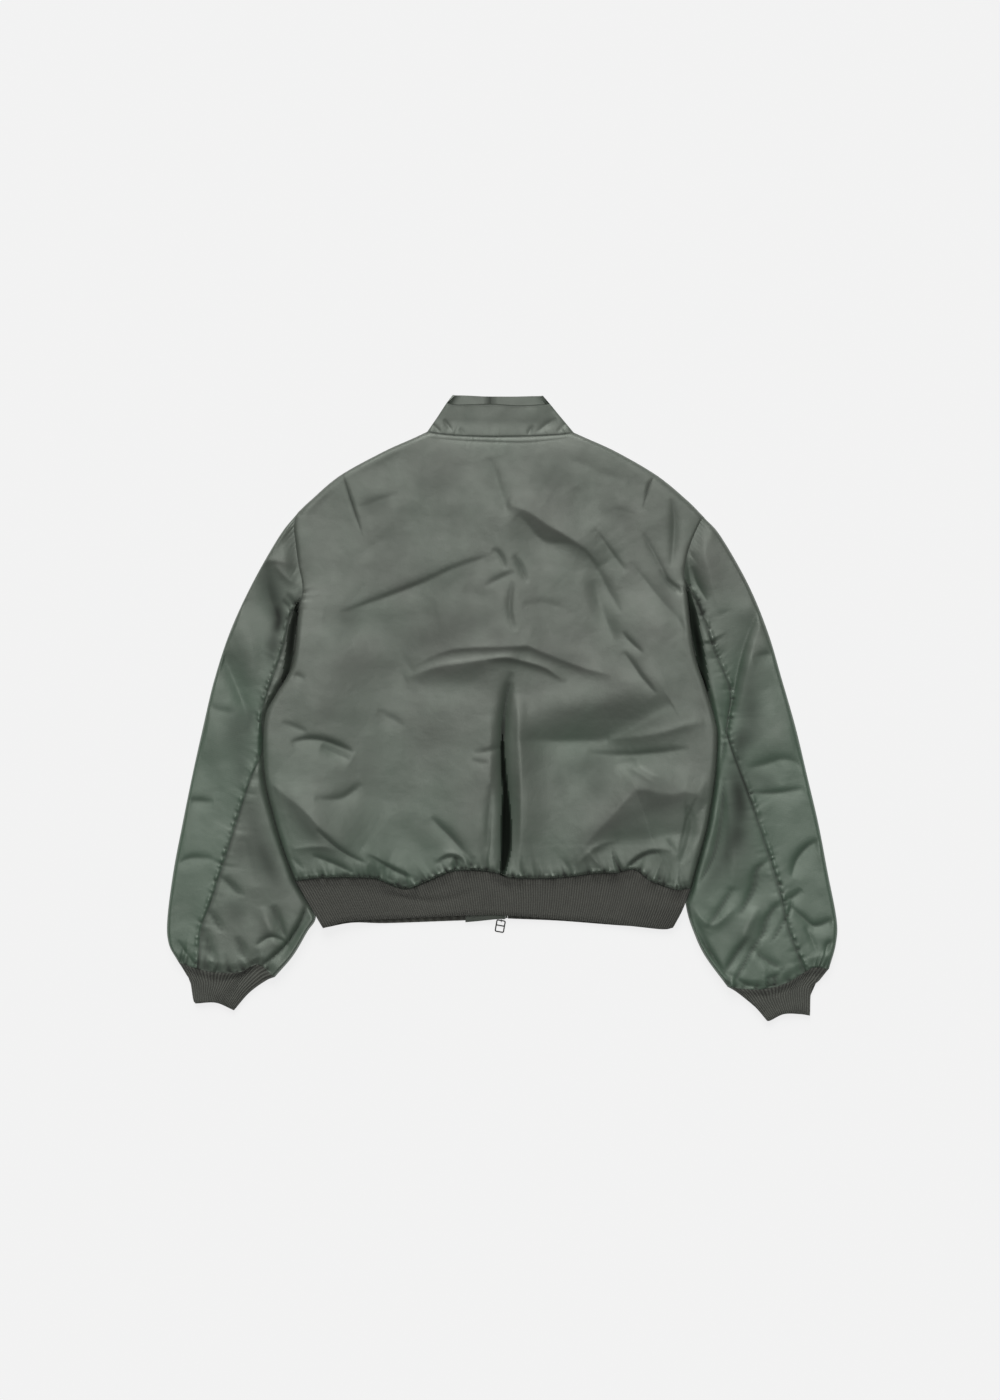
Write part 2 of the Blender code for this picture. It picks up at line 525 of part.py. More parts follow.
def build_sleeve(key, material):
    """Both pieces of a sleeve: a flattened tube, split at the elbow seam and at the forearm seam below."""
    side = SIDES[key]
    upper, under, floor = sleeve_plans(side)
    outer_line, inner_line = floor[:, :1], floor[:, -1:]
    down = np.linspace(0, 1, SLEEVE_STEPS + 1)[:, None]

    def top_height(plan):
        from_outer = np.linalg.norm(plan - outer_line, axis=-1)
        from_inner = np.linalg.norm(plan - inner_line, axis=-1)
        full = roll(from_outer / SLEEVE_ROLL) * roll(from_inner / (0.8 * SLEEVE_ROLL))
        full = full * (0.72 + 0.28 * ramp(down / 0.06)) * (0.62 + 0.38 * ramp((1 - down) / 0.05))
        edge = ramp(np.minimum(from_outer, from_inner) / 0.020) * ramp(down / 0.05) * ramp((1 - down) / 0.05)
        fold = folds(plan, SLEEVE_FOLDS) * edge
        waves = np.sin(np.arange(plan.shape[1]) * np.pi / 2 + 0.6)
        near_cuff = np.exp(-(((1 - down) - 0.03) / 0.03) ** 2) * (1 - ramp((down - 0.96) / 0.04))
        fold = fold + CUFF_GATHER_HEIGHT * waves * near_cuff * ramp(from_outer / 0.02)
        height = FOLD_NOSE + (SLEEVE_HEIGHT - FOLD_NOSE) * full + fold
        return np.minimum(height, sleeve_cap(side, plan)), np.maximum(fold, 0)

    def floor_height(plan):
        from_outer = np.linalg.norm(plan - outer_line, axis=-1)
        from_fold = np.minimum(from_outer, np.linalg.norm(plan - inner_line, axis=-1))
        return FOLD_NOSE * (1 - roll(from_fold / 0.008, 2.0))

    def strip(top_plan, floor_plan):
        """From the elbow seam over the top to the fold, round it and back below to the forearm seam."""
        heights, rise = top_height(top_plan)
        below = with_height(floor_plan, floor_height(floor_plan))
        skin = np.concatenate([with_height(top_plan, heights)[:, ::-1], below[:, 1:]], axis=1)
        top_inside, floor_inside = slid(top_plan), slid(floor_plan)
        inside_height = np.minimum(FRONT_WALL + LAYER_GAP + 0.5 * rise, heights - SLEEVE_TOP_WALL)
        inside_height[:, 0] = FOLD_NOSE
        inside = np.concatenate(
            [
                with_height(top_inside, inside_height)[:, ::-1],
                with_height(floor_inside, np.full(floor_plan.shape[:2], FRONT_WALL))[:, 1:],
            ],
            axis=1,
        )
        return drawn_in(skin), drawn_in(inside)

    keep_rows = np.array([1, 3, 5, 8, 11, 14, 16, 18, 19])
    skin, inside = strip(upper, floor[:, : FOREARM_SEAM_COLUMN + 1])
    keep = np.array([1, 3, 6, 9, 12, 14, 15, 16, 18, 20, 21])
    wall("sleeve_top_" + key, material, skin, inside, keep_rows, keep)
    skin, inside = strip(under[:, ::-1], floor[:, FOREARM_SEAM_COLUMN:][:, ::-1])
    keep = np.array([1, 3, 4, 5, 7, 8])
    wall("sleeve_under_" + key, material, skin, inside, keep_rows, keep)
    return np.vstack([upper[-1], under[-1, 1:]]), floor[-1]


def build_cuff(key, top_seam, floor_seam, material):
    """A knit tube, with its ribs raised on the upper side and round the folds."""
    side = SIDES[key]
    rows = np.linspace(0, 1, 4)
    start, end = along(side["cuff_outer"], 3), along(side["cuff_inner"], 3)
    mouth = along(side["cuff_end"], 60)

    def shares_of(line):
        reach = np.concatenate([[0], np.cumsum(np.linalg.norm(np.diff(line, axis=0), axis=1))])
        return reach / reach[-1]

    def plan(seam):
        shares = shares_of(seam)
        return patch(seam, at_shares(mouth, shares), start, end, shares, rows)

    def inwards(grid):
        return slid(slid(grid)[:, ::-1])[:, ::-1]

    def ring(top, floor):
        return drawn_in(np.concatenate([top, floor[:, ::-1][:, 1:-1]], axis=1), (True, False), (False, False))

    rib_shares = np.linspace(0, 1, 2 * CUFF_RIBS + 1)
    ribbed, floor, plain = plan(at_shares(top_seam, rib_shares)), plan(floor_seam), plan(top_seam)
    width = np.linalg.norm(ribbed[:, -1] - ribbed[:, 0], axis=-1)[:, None]
    edge = np.minimum(rib_shares, 1 - rib_shares)[None] * width
    ribs = RIB_HEIGHT * (np.arange(len(rib_shares)) % 2)[None] * ramp(edge / 0.004)
    skin_height = FOLD_NOSE - 0.0004 + 0.0042 * roll(edge / 0.012) + ribs
    outer = ring(with_height(ribbed, skin_height), with_height(floor, np.zeros(floor.shape[:2])))
    inside_height = np.full(plain.shape[:2], KNIT_WALL + 0.0008)
    inside_height[:, 0] = inside_height[:, -1] = KNIT_WALL + 0.0004
    inside_floor = with_height(inwards(floor), np.full(floor.shape[:2], KNIT_WALL))
    inner = ring(with_height(inwards(plain), inside_height), inside_floor)
    back_along = 0.5 + 0.5 * (1 - shares_of(floor_seam)[::-1][1:-1])
    places = [np.concatenate([0.5 * shares, back_along]) for shares in (rib_shares, shares_of(top_seam))]
    keep = np.arange(0, inner.shape[1], 2)
    wall("cuff_" + key, material, outer, inner, np.array([1, 2]), keep, True, places)


def band(left_front, back, right_front, wall_heights, inset):
    """A strip from the front edge round one side fold, over the back and round the other fold."""
    front_height, fold_height, back_height = wall_heights
    parts = []
    for plan, height in ((left_front, front_height), (back, back_height), (right_front, front_height)):
        parts.append(with_height(plan, height(plan)))
    left, middle, right = parts
    for side, row in ((left, 0), (right, -1)):
        side[:, row, 2] = fold_height(side[:, row, :2])
    if inset:
        across = middle[:, -1, :2] - middle[:, 0, :2]
        across = inset * across / np.linalg.norm(across, axis=-1, keepdims=True)
        left[:, 0, :2] += across
        right[:, -1, :2] -= across
        left[:, 1, :2] += 0.3 * across
        right[:, -2, :2] -= 0.3 * across
        middle[:, 1, :2] += 0.3 * across
        middle[:, -2, :2] -= 0.3 * across
    return np.concatenate([left[:, ::-1], middle[:, 1:-1], right[:, ::-1]], axis=1)


def front_band_plan(side, top_name, bottom_name, count, row_count, fold=None):
    """A strip's front stretch on one side, from its side fold, straight unless drawn, to the front edge."""
    top, bottom = along(side[top_name], count), along(side[bottom_name], count)
    for line in (top, bottom):
        line[-1, 0] = centre_x(line[-1, 1]) + side["sign"] * ZIP_OPENING
    shares = np.linspace(0, 1, row_count)
    fold = at_shares(np.array([top[0], bottom[0]]) if fold is None else fold, shares)
    end = at_shares(np.array([top[-1], bottom[-1]]), shares)
    return patch(top, bottom, fold, end, np.linspace(0, 1, count + 1), shares)


def build_waistband(seam, material):
    """One ribbed strip. Its ribs stand on the back and round both folds, and its front lies flat."""
    def plans(front_count, back_count, row_count):
        shares = np.linspace(0, 1, row_count)
        folds_drawn = [along(side["band_side"], 12) for side in SIDES.values()]
        left, right = [
            front_band_plan(side, "front_waist", "front_hem", front_count, row_count, fold)
            for side, fold in zip(SIDES.values(), folds_drawn)
        ]
        top, bottom = at_shares(seam, np.linspace(0, 1, back_count + 1)), along(HEM_BACK, back_count)
        back = patch(top, bottom, left[:, 0], right[:, 0], np.linspace(0, 1, back_count + 1), shares)
        return left, back, right[:, ::-1]

    under = FRONT_WALL + LAYER_GAP - 0.0003

    def rib_top(plan):
        width = np.linalg.norm(plan[:, -1] - plan[:, 0], axis=-1)[:, None]
        shares = np.linspace(0, 1, plan.shape[1])[None]
        edge = np.minimum(shares, 1 - shares) * width
        ribs = RIB_HEIGHT * (np.arange(plan.shape[1]) % 2)[None]
        body = sleeve_lift(plan) + flap_rise(plan) + under + 0.0006
        return body + (KNIT_WALL - 0.0006) * roll(edge / 0.010) + ribs * ramp(edge / 0.004)

    skin_heights = (sleeve_lift, lambda plan: sleeve_lift(plan) + FOLD_NOSE - 0.0004, rib_top)
    inside_heights = (
        lambda plan: sleeve_lift(plan) + KNIT_WALL,
        lambda plan: sleeve_lift(plan) + FOLD_NOSE - 0.0006,
        lambda plan: sleeve_lift(plan) + flap_rise(plan) + under,
    )
    outer = drawn_in(band(*plans(8, 2 * WAISTBAND_RIBS, 3), skin_heights, 0))
    inner = drawn_in(band(*plans(12, 50, 4), inside_heights, 0.0036))

    def strip_places(front_count, back_count):
        front_share = 0.3
        back = front_share + (1 - 2 * front_share) * np.arange(1, back_count) / back_count
        left = np.linspace(0, front_share, front_count + 1)
        return np.concatenate([left, back, 1 - left[::-1]])

    places = (strip_places(8, 2 * WAISTBAND_RIBS), strip_places(12, 50))
    wall("waistband", material, outer, inner, np.array([1, 2]), np.arange(1, 74, 2), False, places)


def build_collar(material):
    """One stand collar strip, whose front stretches reach higher than its back."""
    def plans(front_count, back_count, row_count):
        shares = np.linspace(0, 1, row_count)
        left, right = [
            front_band_plan(side, "front_neck", "collar_top", front_count, row_count) for side in SIDES.values()
        ]
        back_top = along(COLLAR_TOP_BACK, back_count)
        back = patch(
            along(NECK_SEAM, back_count), back_top,
            at_shares(np.array([NECK_SEAM[0], COLLAR_TOP_BACK[0]]), shares),
            at_shares(np.array([NECK_SEAM[-1], COLLAR_TOP_BACK[-1]]), shares),
            np.linspace(0, 1, back_count + 1), shares,
        )
        return left, back, right[:, ::-1]

    under = FRONT_WALL + LAYER_GAP

    def flat(height):
        return lambda plan: np.full(plan.shape[:2] if plan.ndim == 3 else plan.shape[:1], height)

    def crowned(plan):
        width = np.linalg.norm(plan[:, -1] - plan[:, 0], axis=-1)[:, None]
        shares = np.linspace(0, 1, plan.shape[1])[None]
        edge = np.minimum(shares, 1 - shares) * width
        return under + 0.0012 + (COLLAR_WALL - 0.0012) * roll(edge / 0.012)

    outer = drawn_in(band(*plans(8, 16, 5), (flat(0.0), flat(FOLD_NOSE), crowned), 0))
    inside = (flat(COLLAR_WALL), flat(FOLD_NOSE - 0.0002), flat(under))
    inner = drawn_in(band(*plans(8, 16, 5), inside, 0.0030))
    keep = np.concatenate([np.arange(1, 7, 2), [7, 8, 9], np.arange(11, 24, 3), [24, 25, 27, 29, 31]])
    wall("collar", material, outer, inner, np.array([1, 3]), np.unique(keep))


def prism(name, material, corners, bottom, top):
    """A plate with this outline in plan, counter-clockwise, and these heights at its corners."""
    count = len(corners)
    points = [(x, y, z) for (x, y), z in zip(corners, bottom)] + [(x, y, z) for (x, y), z in zip(corners, top)]
    faces = [tuple(range(count))[::-1], tuple(range(count, 2 * count))]
    faces += [(i, (i + 1) % count, count + (i + 1) % count, count + i) for i in range(count)]
    return solid(name, material, points, faces)


def lattice(name, material, xs, ys, holes, low, high):
    """A flat plate on a grid of lines, with these (column, row) cells left open."""
    points = [(x, y, z) for z in (low, high) for y in ys for x in xs]
    across, level = len(xs), len(xs) * len(ys)
    cells = {(i, j) for i in range(len(xs) - 1) for j in range(len(ys) - 1)} - set(holes)
    faces = []
    for i, j in sorted(cells):
        corner = [i + across * j, i + 1 + across * j, i + 1 + across * (j + 1), i + across * (j + 1)]
        faces += [tuple(corner[::-1]), tuple(point + level for point in corner)]
        beside = ((i, j - 1), (i + 1, j), (i, j + 1), (i - 1, j))
        for edge, cell in enumerate(beside):
            if cell not in cells:
                one, two = corner[edge], corner[(edge + 1) % 4]
                faces.append((one, two, two + level, one + level))
    return solid(name, material, points, faces)


def along_zip(offset, y):
    """A point at this distance from the front edges' meeting line."""
    return (centre_x(y) + offset, y)


def build_zip(fabric, metal):
    """Two tapes, the slider at the hem with its hooked nose, and the wire pull that hangs from it."""
    for key, sign in (("left", -1), ("right", 1)):
        outside, (bottom, top) = ZIP_OPENING - 0.0003, TAPE_ENDS
        ends = [(TAPE_EDGE, bottom), (outside, bottom), (outside, top), (TAPE_EDGE, top)]
        corners = [along_zip(sign * offset, y) for offset, y in ends]
        low, high = TAPE_HEIGHT - TAPE_WALL / 2, TAPE_HEIGHT + TAPE_WALL / 2
        prism("zip_tape_" + key, fabric, corners[::sign], [low] * 4, [high] * 4)

    nose = PULL_PIVOT[1] + 0.0018
    middle_x = centre_x(nose + 0.006)
    plate_long, plate_half, bridge_long, bridge_half = 0.0130, 0.0045, 0.0045, 0.0008
    boxes = (
        ("zip_slider", plate_half, plate_long, 0.0004, 0.0014),
        ("slider_upper_plate", plate_half, plate_long, 0.0042, 0.0052),
        ("slider_bridge", bridge_half, bridge_long, 0.0009, 0.0047),
    )
    pieces = []
    for name, half, long, low, high in boxes:
        x0, x1, y1 = middle_x - half, middle_x + half, nose + long
        pieces.append(prism(name, metal, [(x0, nose), (x1, nose), (x1, y1), (x0, y1)], [low] * 4, [high] * 4))
    hook = lattice(
        "slider_hook", metal, (nose - 0.0042, nose - 0.0032, nose - 0.0004, nose + 0.0006),
        (0.0002, 0.0008, 0.0036, 0.0046), {(1, 1)}, -0.0012, 0.0012,
    )
    # The hook is drawn in the plane of its eye and stood up: its x becomes y, and its y becomes z.
    for point in hook.data.vertices:
        long, up, across = point.co
        point.co = (PULL_PIVOT[0] + across, long, up)
    pieces.append(hook)
    for piece in pieces[1:]:
        piece.hide_render = True
        piece.display_type = "WIRE"
        union = pieces[0].modifiers.new("join", "BOOLEAN")
        union.operation = "UNION"
        union.object = piece

    half, wire = PULL_WIDTH / 2, PULL_WIRE / 2
    bars = (wire, -wire, -0.0062, -0.0074, -PULL_LENGTH + wire, -PULL_LENGTH - wire)
    columns = (-half, -half + PULL_WIRE, half - PULL_WIRE, half)
    pull = lattice("zip_pull", metal, columns, bars[::-1], {(1, 1), (1, 3)}, -wire, wire)
    pull.location = PULL_PIVOT
    slope = math.asin((PULL_PIVOT[2] - wire - 0.0003) / PULL_LENGTH)
    pull.rotation_euler = (slope, 0, PULL_YAW)


def build_flap(material):
    """The wind flap over the zip, a strip with its free edge just past the front edges."""
    top, inner, outer = 0.285, -FLAP_WIDTH, 0.0027
    fold = -0.034
    lines = (inner, fold, -0.012, outer)
    heights = (0.0043, 0.0043, 0.0057, 0.0057)
    hem = (-0.2840, -0.2825, -0.2800, -0.2790)
    low = [[*along_zip(offset, y), height] for offset, y, height in zip(lines, hem, heights)]
    high = [[*along_zip(offset, top), height] for offset, height in zip(lines, heights)]
    rows = np.array([high, low])
    points = np.concatenate([rows.reshape(-1, 3), rows.reshape(-1, 3) + (0, 0, FLAP_WALL)])
    faces = []
    for base in (0, 8):
        faces += [(base + i, base + i + 1, base + i + 5, base + i + 4) for i in range(3)]
    rim = [0, 1, 2, 3, 7, 6, 5, 4]
    faces += [(a, b, b + 8, a + 8) for a, b in zip(rim, rim[1:] + rim[:1])]
    solid("wind_flap", material, points, faces)


def build_jacket():
    for thing in list(bpy.data.objects):
        bpy.data.objects.remove(thing)
    nylon = finish_material("nylon", (0.147, 0.159, 0.138), 0.42)
    knit = finish_material("knit", (0.058, 0.058, 0.048), 0.85)
    tape = finish_material("tape", (0.070, 0.080, 0.062), 0.80)
    metal = finish_material("metal", (0.30, 0.31, 0.29), 0.35, 1.0)
    build_back(nylon)
    build_collar(nylon)
    for key in SIDES:
        build_front(key, nylon)
        top_seam, floor_seam = build_sleeve(key, nylon)
        build_cuff(key, top_seam, floor_seam, knit)
    build_waistband(back_plan()[-1], knit)
    build_flap(nylon)
    build_zip(tape, metal)


build_jacket()
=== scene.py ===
import math

import bpy
import numpy as np
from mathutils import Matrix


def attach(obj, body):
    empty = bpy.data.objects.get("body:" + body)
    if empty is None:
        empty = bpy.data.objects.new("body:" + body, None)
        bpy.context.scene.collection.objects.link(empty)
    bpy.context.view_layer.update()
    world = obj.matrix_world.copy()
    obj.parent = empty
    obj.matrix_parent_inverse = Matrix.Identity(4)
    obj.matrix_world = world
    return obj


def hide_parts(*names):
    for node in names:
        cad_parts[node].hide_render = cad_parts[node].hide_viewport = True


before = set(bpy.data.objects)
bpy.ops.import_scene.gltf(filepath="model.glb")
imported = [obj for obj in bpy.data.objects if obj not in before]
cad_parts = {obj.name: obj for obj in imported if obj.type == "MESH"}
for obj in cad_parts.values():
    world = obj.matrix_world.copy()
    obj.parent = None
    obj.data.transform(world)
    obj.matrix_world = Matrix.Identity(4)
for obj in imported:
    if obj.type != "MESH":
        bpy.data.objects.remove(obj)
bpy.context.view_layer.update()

mm = 0.001
print("frame loaded:", ", ".join(sorted(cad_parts)))

# Outlines in plan, in mm: each runs in the direction of its name, or from the outer fold inwards
neckSeam = ((-99, 364), (-69, 360), (-29, 358), (11, 358), (50, 359), (82, 361), (95, 363))
waistSeam = (
    (-272, -229), (-236, -225), (-172, -226), (-144, -236), (-125, -240), (-102, -232), (-61, -216),
    (-12, -218), (12, -225), (67, -226), (112, -221), (127, -219), (150, -219), (169, -214), (180, -217),
    (196, -229), (228, -240), (249, -238),
)
hemBack = (
    (-236, -291), (-202, -282), (-135, -279), (-30, -274), (11, -275),
    (77, -280), (127, -284), (182, -290), (213, -293), (226, -291),
)
collarTopBack = ((-74, 402), (-55, 400), (-16, 401), (24, 399), (64, 401))
frontCentre = ((-15.2, 411), (1.3, -282))
sides = {
    "left": {
        "sign": -1,
        "shoulder": ((-99, 364), (-116, 356), (-158, 337), (-214, 306), (-252, 274), (-269, 258)),
        "armhole": (
            (-269, 258), (-274, 240), (-272, 217), (-268, 188), (-263, 162), (-264, 145), (-269, 126),
        ),
        "side": (
            (-269, 126), (-273, 76), (-279, 48), (-298, 17), (-312, -11),
            (-315, -53), (-312, -97), (-301, -143), (-288, -187), (-272, -229),
        ),
        "bandSide": ((-272, -229), (-236, -291)),
        "outerFold": (
            (-269, 258), (-294, 226), (-330, 163), (-359, 100), (-380, 36), (-395, -27),
            (-409, -90), (-422, -154), (-434, -217), (-442, -280), (-440, -312), (-428, -335),
        ),
        "innerFold": (
            (-269, 126), (-261, 113), (-251, 96), (-247, 74), (-248, 44), (-255, -2), (-261, -50),
            (-263, -96), (-256, -175), (-248, -247), (-246, -278), (-257, -296), (-276, -328), (-300, -356),
        ),
        "elbowSeam": (
            (-265, 142), (-280, 118), (-289, 76), (-312, 10), (-317, -19), (-315, -55),
            (-333, -100), (-364, -197), (-384, -258), (-396, -291), (-401, -345),
        ),
        "cuffSeam": ((-428, -335), (-404, -344), (-379, -349), (-346, -349), (-322, -339), (-300, -356)),
        "cuffOuter": ((-428, -335), (-417, -353), (-412, -362), (-408, -386), (-405, -391)),
        "cuffInner": ((-300, -356), (-312, -361), (-334, -377), (-354, -400)),
        "cuffEnd": ((-405, -391), (-378, -390), (-354, -400)),
        "frontNeck": ((-99, 364), (-70, 353), (-20, 345)),
        "frontWaist": ((-272, -229), (-150, -232), (-5, -222)),
        "frontHem": ((-236, -291), (-198, -284), (-152, -285), (-65, -282), (-5, -280)),
        "collarTop": ((-65, 413), (-40, 412), (-22, 411)),
        "liftEnd": -400,
    },
    "right": {
        "sign": 1,
        "shoulder": ((95, 363), (106, 358), (152, 337), (205, 306), (244, 274), (267, 251)),
        "armhole": ((267, 251), (261, 244), (249, 217), (242, 192), (240, 171), (244, 154)),
        "side": (
            (244, 154), (253, 76), (268, 27), (281, -17), (284, -42), (281, -92), (271, -155),
            (260, -197), (249, -238),
        ),
        "bandSide": ((249, -238), (238, -267), (226, -291)),
        "outerFold": (
            (267, 251), (289, 226), (325, 163), (351, 100), (370, 36), (388, -27),
            (403, -90), (418, -154), (430, -217), (442, -280), (441, -312), (432, -345),
        ),
        "innerFold": (
            (244, 154), (236, 142), (227, 126), (223, 106), (222, 82), (226, 46), (234, -10), (242, -69),
            (239, -175), (239, -228), (244, -267), (253, -296), (268, -328), (298, -369),
        ),
        "elbowSeam": (
            (243, 162), (260, 133), (279, 76), (301, 23), (298, -17),
            (298, -42), (329, -126), (365, -238), (377, -291), (400, -348),
        ),
        "cuffSeam": (
            (432, -345), (411, -343), (393, -353), (378, -362), (360, -368), (335, -372), (298, -369),
        ),
        "cuffOuter": ((432, -345), (420, -360), (409, -373), (407, -407)),
        "cuffInner": ((298, -369), (310, -376), (329, -391), (347, -407)),
        "cuffEnd": ((407, -407), (393, -405), (372, -405), (352, -414), (347, -407)),
        "frontNeck": ((95, 363), (50, 352), (-5, 345)),
        "frontWaist": ((249, -238), (120, -226), (8, -222)),
        "frontHem": ((226, -291), (156, -288), (77, -282), (8, -279)),
        "collarTop": ((54, 412), (20, 411), (-8, 411)),
        "liftEnd": -258,
    },
}


# Curves, patches and fields
def curveThrough(points, count):
    # Catmull-Rom curve through the points (mm), then count + 1 points evenly spaced along it, in metres
    points = np.array(points, float) * mm
    before = np.vstack([2 * points[0] - points[1], points[:-1]])[: len(points) - 1, None]
    after = np.vstack([points[2:], 2 * points[-1] - points[-2]])[:, None]
    start, end = points[:-1, None], points[1:, None]
    t = np.linspace(0, 1, 17)[None, :, None]
    curve = 0.5 * (
        2 * start + (end - before) * t + (2 * before - 5 * start + 4 * end - after) * t**2
        + (3 * start - before - 3 * end + after) * t**3
    )
    return atShares(np.vstack([curve[:, :-1].reshape(-1, 2), points[-1:]]), evenly(count))


def evenly(count):
    # count + 1 shares from 0 to 1
    return np.linspace(0, 1, count + 1)


def travelled(grid, axis):
    # way covered along the rows (1) or down the columns (0) of a grid, up to each of its points
    way = np.cumsum(np.linalg.norm(np.diff(grid, axis=axis), axis=-1), axis=axis)
    return np.concatenate([np.zeros_like(way.take([0], axis)), way], axis=axis)


def lengths(line):
    # length along a line up to each of its points
    return travelled(line, 0)


def atShares(line, shares):
    # points at these shares of the line's length
    reach = lengths(line)
    return np.stack([np.interp(np.asarray(shares) * reach[-1], reach, axis) for axis in line.T], axis=1)


def patch(first, last, start, end, us, vs):
    # Coons patch: row 0 is first, the last row is last, column 0 is start and the last column is end
    us, vs = np.asarray(us)[None, :, None], np.asarray(vs)[:, None, None]
    rows = (1 - vs) * first[None] + vs * last[None]
    columns = (1 - us) * start[:, None] + us * end[:, None]
    corners = (1 - us) * ((1 - vs) * first[0] + vs * last[0]) + us * ((1 - vs) * first[-1] + vs * last[-1])
    return rows + columns - corners


def smooth(value):
    # 0 below 0, 1 above 1, and a smooth step between
    value = np.clip(value, 0, 1)
    return value * value * (3 - 2 * value)


def rollOff(value, power=2.4):
    # the rounded rise of a folded edge: 0 at the edge, level from 1 on
    return (1 - (1 - np.clip(value, 0, 1)) ** power) ** (1 / power)


def nearLine(plan, line):
    # signed distance in plan to the nearest point of a line (positive on its left), and the length up to it
    shape = plan.shape[:-1]
    x, y = plan[..., 0].ravel(), plan[..., 1].ravel()
    best, side, place = np.full(x.shape, 9.0), np.zeros(x.shape), np.zeros(x.shape)
    reach = lengths(line)
    for (x0, y0), (x1, y1), start in zip(line[:-1], line[1:], reach[:-1]):
        run = math.hypot(x1 - x0, y1 - y0)
        alongX, alongY = (x1 - x0) / run, (y1 - y0) / run
        share = np.clip((x - x0) * alongX + (y - y0) * alongY, 0, run)
        gap = (x - x0 - share * alongX) ** 2 + (y - y0 - share * alongY) ** 2
        closer = gap < best
        best = np.where(closer, gap, best)
        side = np.where(closer, alongX * (y - y0) - alongY * (x - x0), side)
        place = np.where(closer, start + share, place)
    return (np.sqrt(best) * np.where(side < 0, -1, 1)).reshape(shape), place.reshape(shape)


def awayFrom(plan, line):
    # distance in plan to the nearest point of a line
    return np.abs(nearLine(plan, line)[0])


def fullness(away, reach, least):
    # share of the padding's height near a seam that presses it down to the least share
    return least + (1 - least) * rollOff(away / reach)


def stripe(away, width):
    # bell across a line, by the distance from it
    return np.exp(-((away / width) ** 2))


def creases(plan, table):
    # each crease is a bell across its line, with a width of its own on either side (left first), that swells
    # from nothing at its start and dies out at its end; a trough has a height below zero
    height = np.zeros(plan.shape[:-1])
    for rise, left, right, sharp, points in table:
        line = curveThrough(points, 14)
        reach = 3 * max(left, right) * mm
        near = np.all((plan > line.min(0) - reach) & (plan < line.max(0) + reach), axis=-1)
        if not near.any():
            continue
        away, place = nearLine(plan[near], line)
        share = place / lengths(line)[-1]
        swell = np.sin(np.pi * np.clip(share, 0, 1)) ** 0.75
        width = np.where(away > 0, left, right) * mm * (0.6 + 0.4 * swell)
        bell = np.exp(-((away / width) ** 2 + 0.004) ** (sharp / 2))
        height[near] += rise * mm * swell * bell
    return height


def undulation(plan, wavelength, height, seed, waves=22):
    # sum of sine waves in seeded directions and phases, with lengths about the one given
    chance = np.random.default_rng(seed)
    angles, stretches, phases = [chance.uniform(*span, waves) for span in ((0, np.pi), (0.6, 1.7), (0, 6.28))]
    total = np.zeros(plan.shape[:-1])
    for angle, stretch, phase in zip(angles, stretches, phases):
        along = plan[..., 0] * math.cos(angle) + plan[..., 1] * math.sin(angle)
        total += np.sin(2 * np.pi * along / (wavelength * stretch) + phase)
    return height * total / math.sqrt(waves / 2)


def pucker(away, place, height, pitch, reach, seed):
    # short wrinkles square to a seam: a smooth random wave along it, that fades with the distance from it
    chance = np.random.default_rng(seed)
    knots = chance.normal(size=4000)
    depth = np.interp(place / (2.3 * pitch), np.arange(4000), chance.uniform(0.25, 1.5, 4000))
    spot = (place + 0.22 * away) / (0.5 * pitch) + 3
    low = np.clip(np.floor(spot).astype(int), 0, 3998)
    wave = knots[low] + (knots[low + 1] - knots[low]) * smooth(spot - low)
    return height * wave * np.exp(-np.abs(away) / (reach * depth)) * smooth((np.abs(away) + 0.0006) / 0.002)


def ruched(place, seed):
    # the same wave at its full size, for a ruched strip that runs along a seam
    return pucker(np.full_like(place, 2 * mm), place, 1.0, 5.6 * mm, 1.0, seed)


def summed(rows, make, *places):
    # sum of several waves or puckers, each row with its own values
    return sum(make(*places, *row) for row in rows)


def cavity(height):
    # how far each place lies below the mean of the places two grid steps away from it
    far = np.pad(height, 2, mode="edge")
    return (far[4:, 2:-2] + far[:-4, 2:-2] + far[2:-2, 4:] + far[2:-2, :-4]) / 4 - height


def centreX(y):
    # where the front edges meet, at this height on the jacket
    (topX, topY), (bottomX, bottomY) = np.array(frontCentre) * mm
    return topX + (bottomX - topX) * (topY - y) / (topY - bottomY)


# where the sleeve lies under the body's side: its height, how far inside its fold it starts, and its ramps
liftShape = {
    "height": 9.6 * mm, "inside": 110 * mm, "ramp": 105 * mm, "above": 55 * mm,
    "topRamp": 105 * mm, "endRamp": 42 * mm,
}
# the wind flap and the zip under the back: height, middle, half width and the ramps beside and above it
riseShape = {
    "height": 2.9 * mm, "middle": -22 * mm, "half": 90 * mm, "ramp": 60 * mm,
    "top": 340 * mm, "topRamp": 50 * mm,
}


def sleeveLift(plan):
    # how far the sleeve under the body's side raises it
    x, y = plan[..., 0], plan[..., 1]
    height = np.zeros(x.shape)
    for side in sides.values():
        inner = curveThrough(side["innerFold"], 60)[::-1]
        outwards = side["sign"] * (x - np.interp(y, inner[:, 1], inner[:, 0]))
        over = smooth((outwards + liftShape["inside"]) / liftShape["ramp"])
        below = smooth((side["innerFold"][0][1] * mm + liftShape["above"] - y) / liftShape["topRamp"])
        ended = smooth((y - side["liftEnd"] * mm + liftShape["endRamp"]) / liftShape["endRamp"])
        height += liftShape["height"] * over * below * ended
    return height


def flapRise(plan):
    # how far the wind flap and the zip raise the back over them
    x, y = plan[..., 0], plan[..., 1]
    beside = smooth((riseShape["half"] - np.abs(x - centreX(y) - riseShape["middle"])) / riseShape["ramp"])
    return riseShape["height"] * beside * smooth((riseShape["top"] - y) / riseShape["topRamp"])


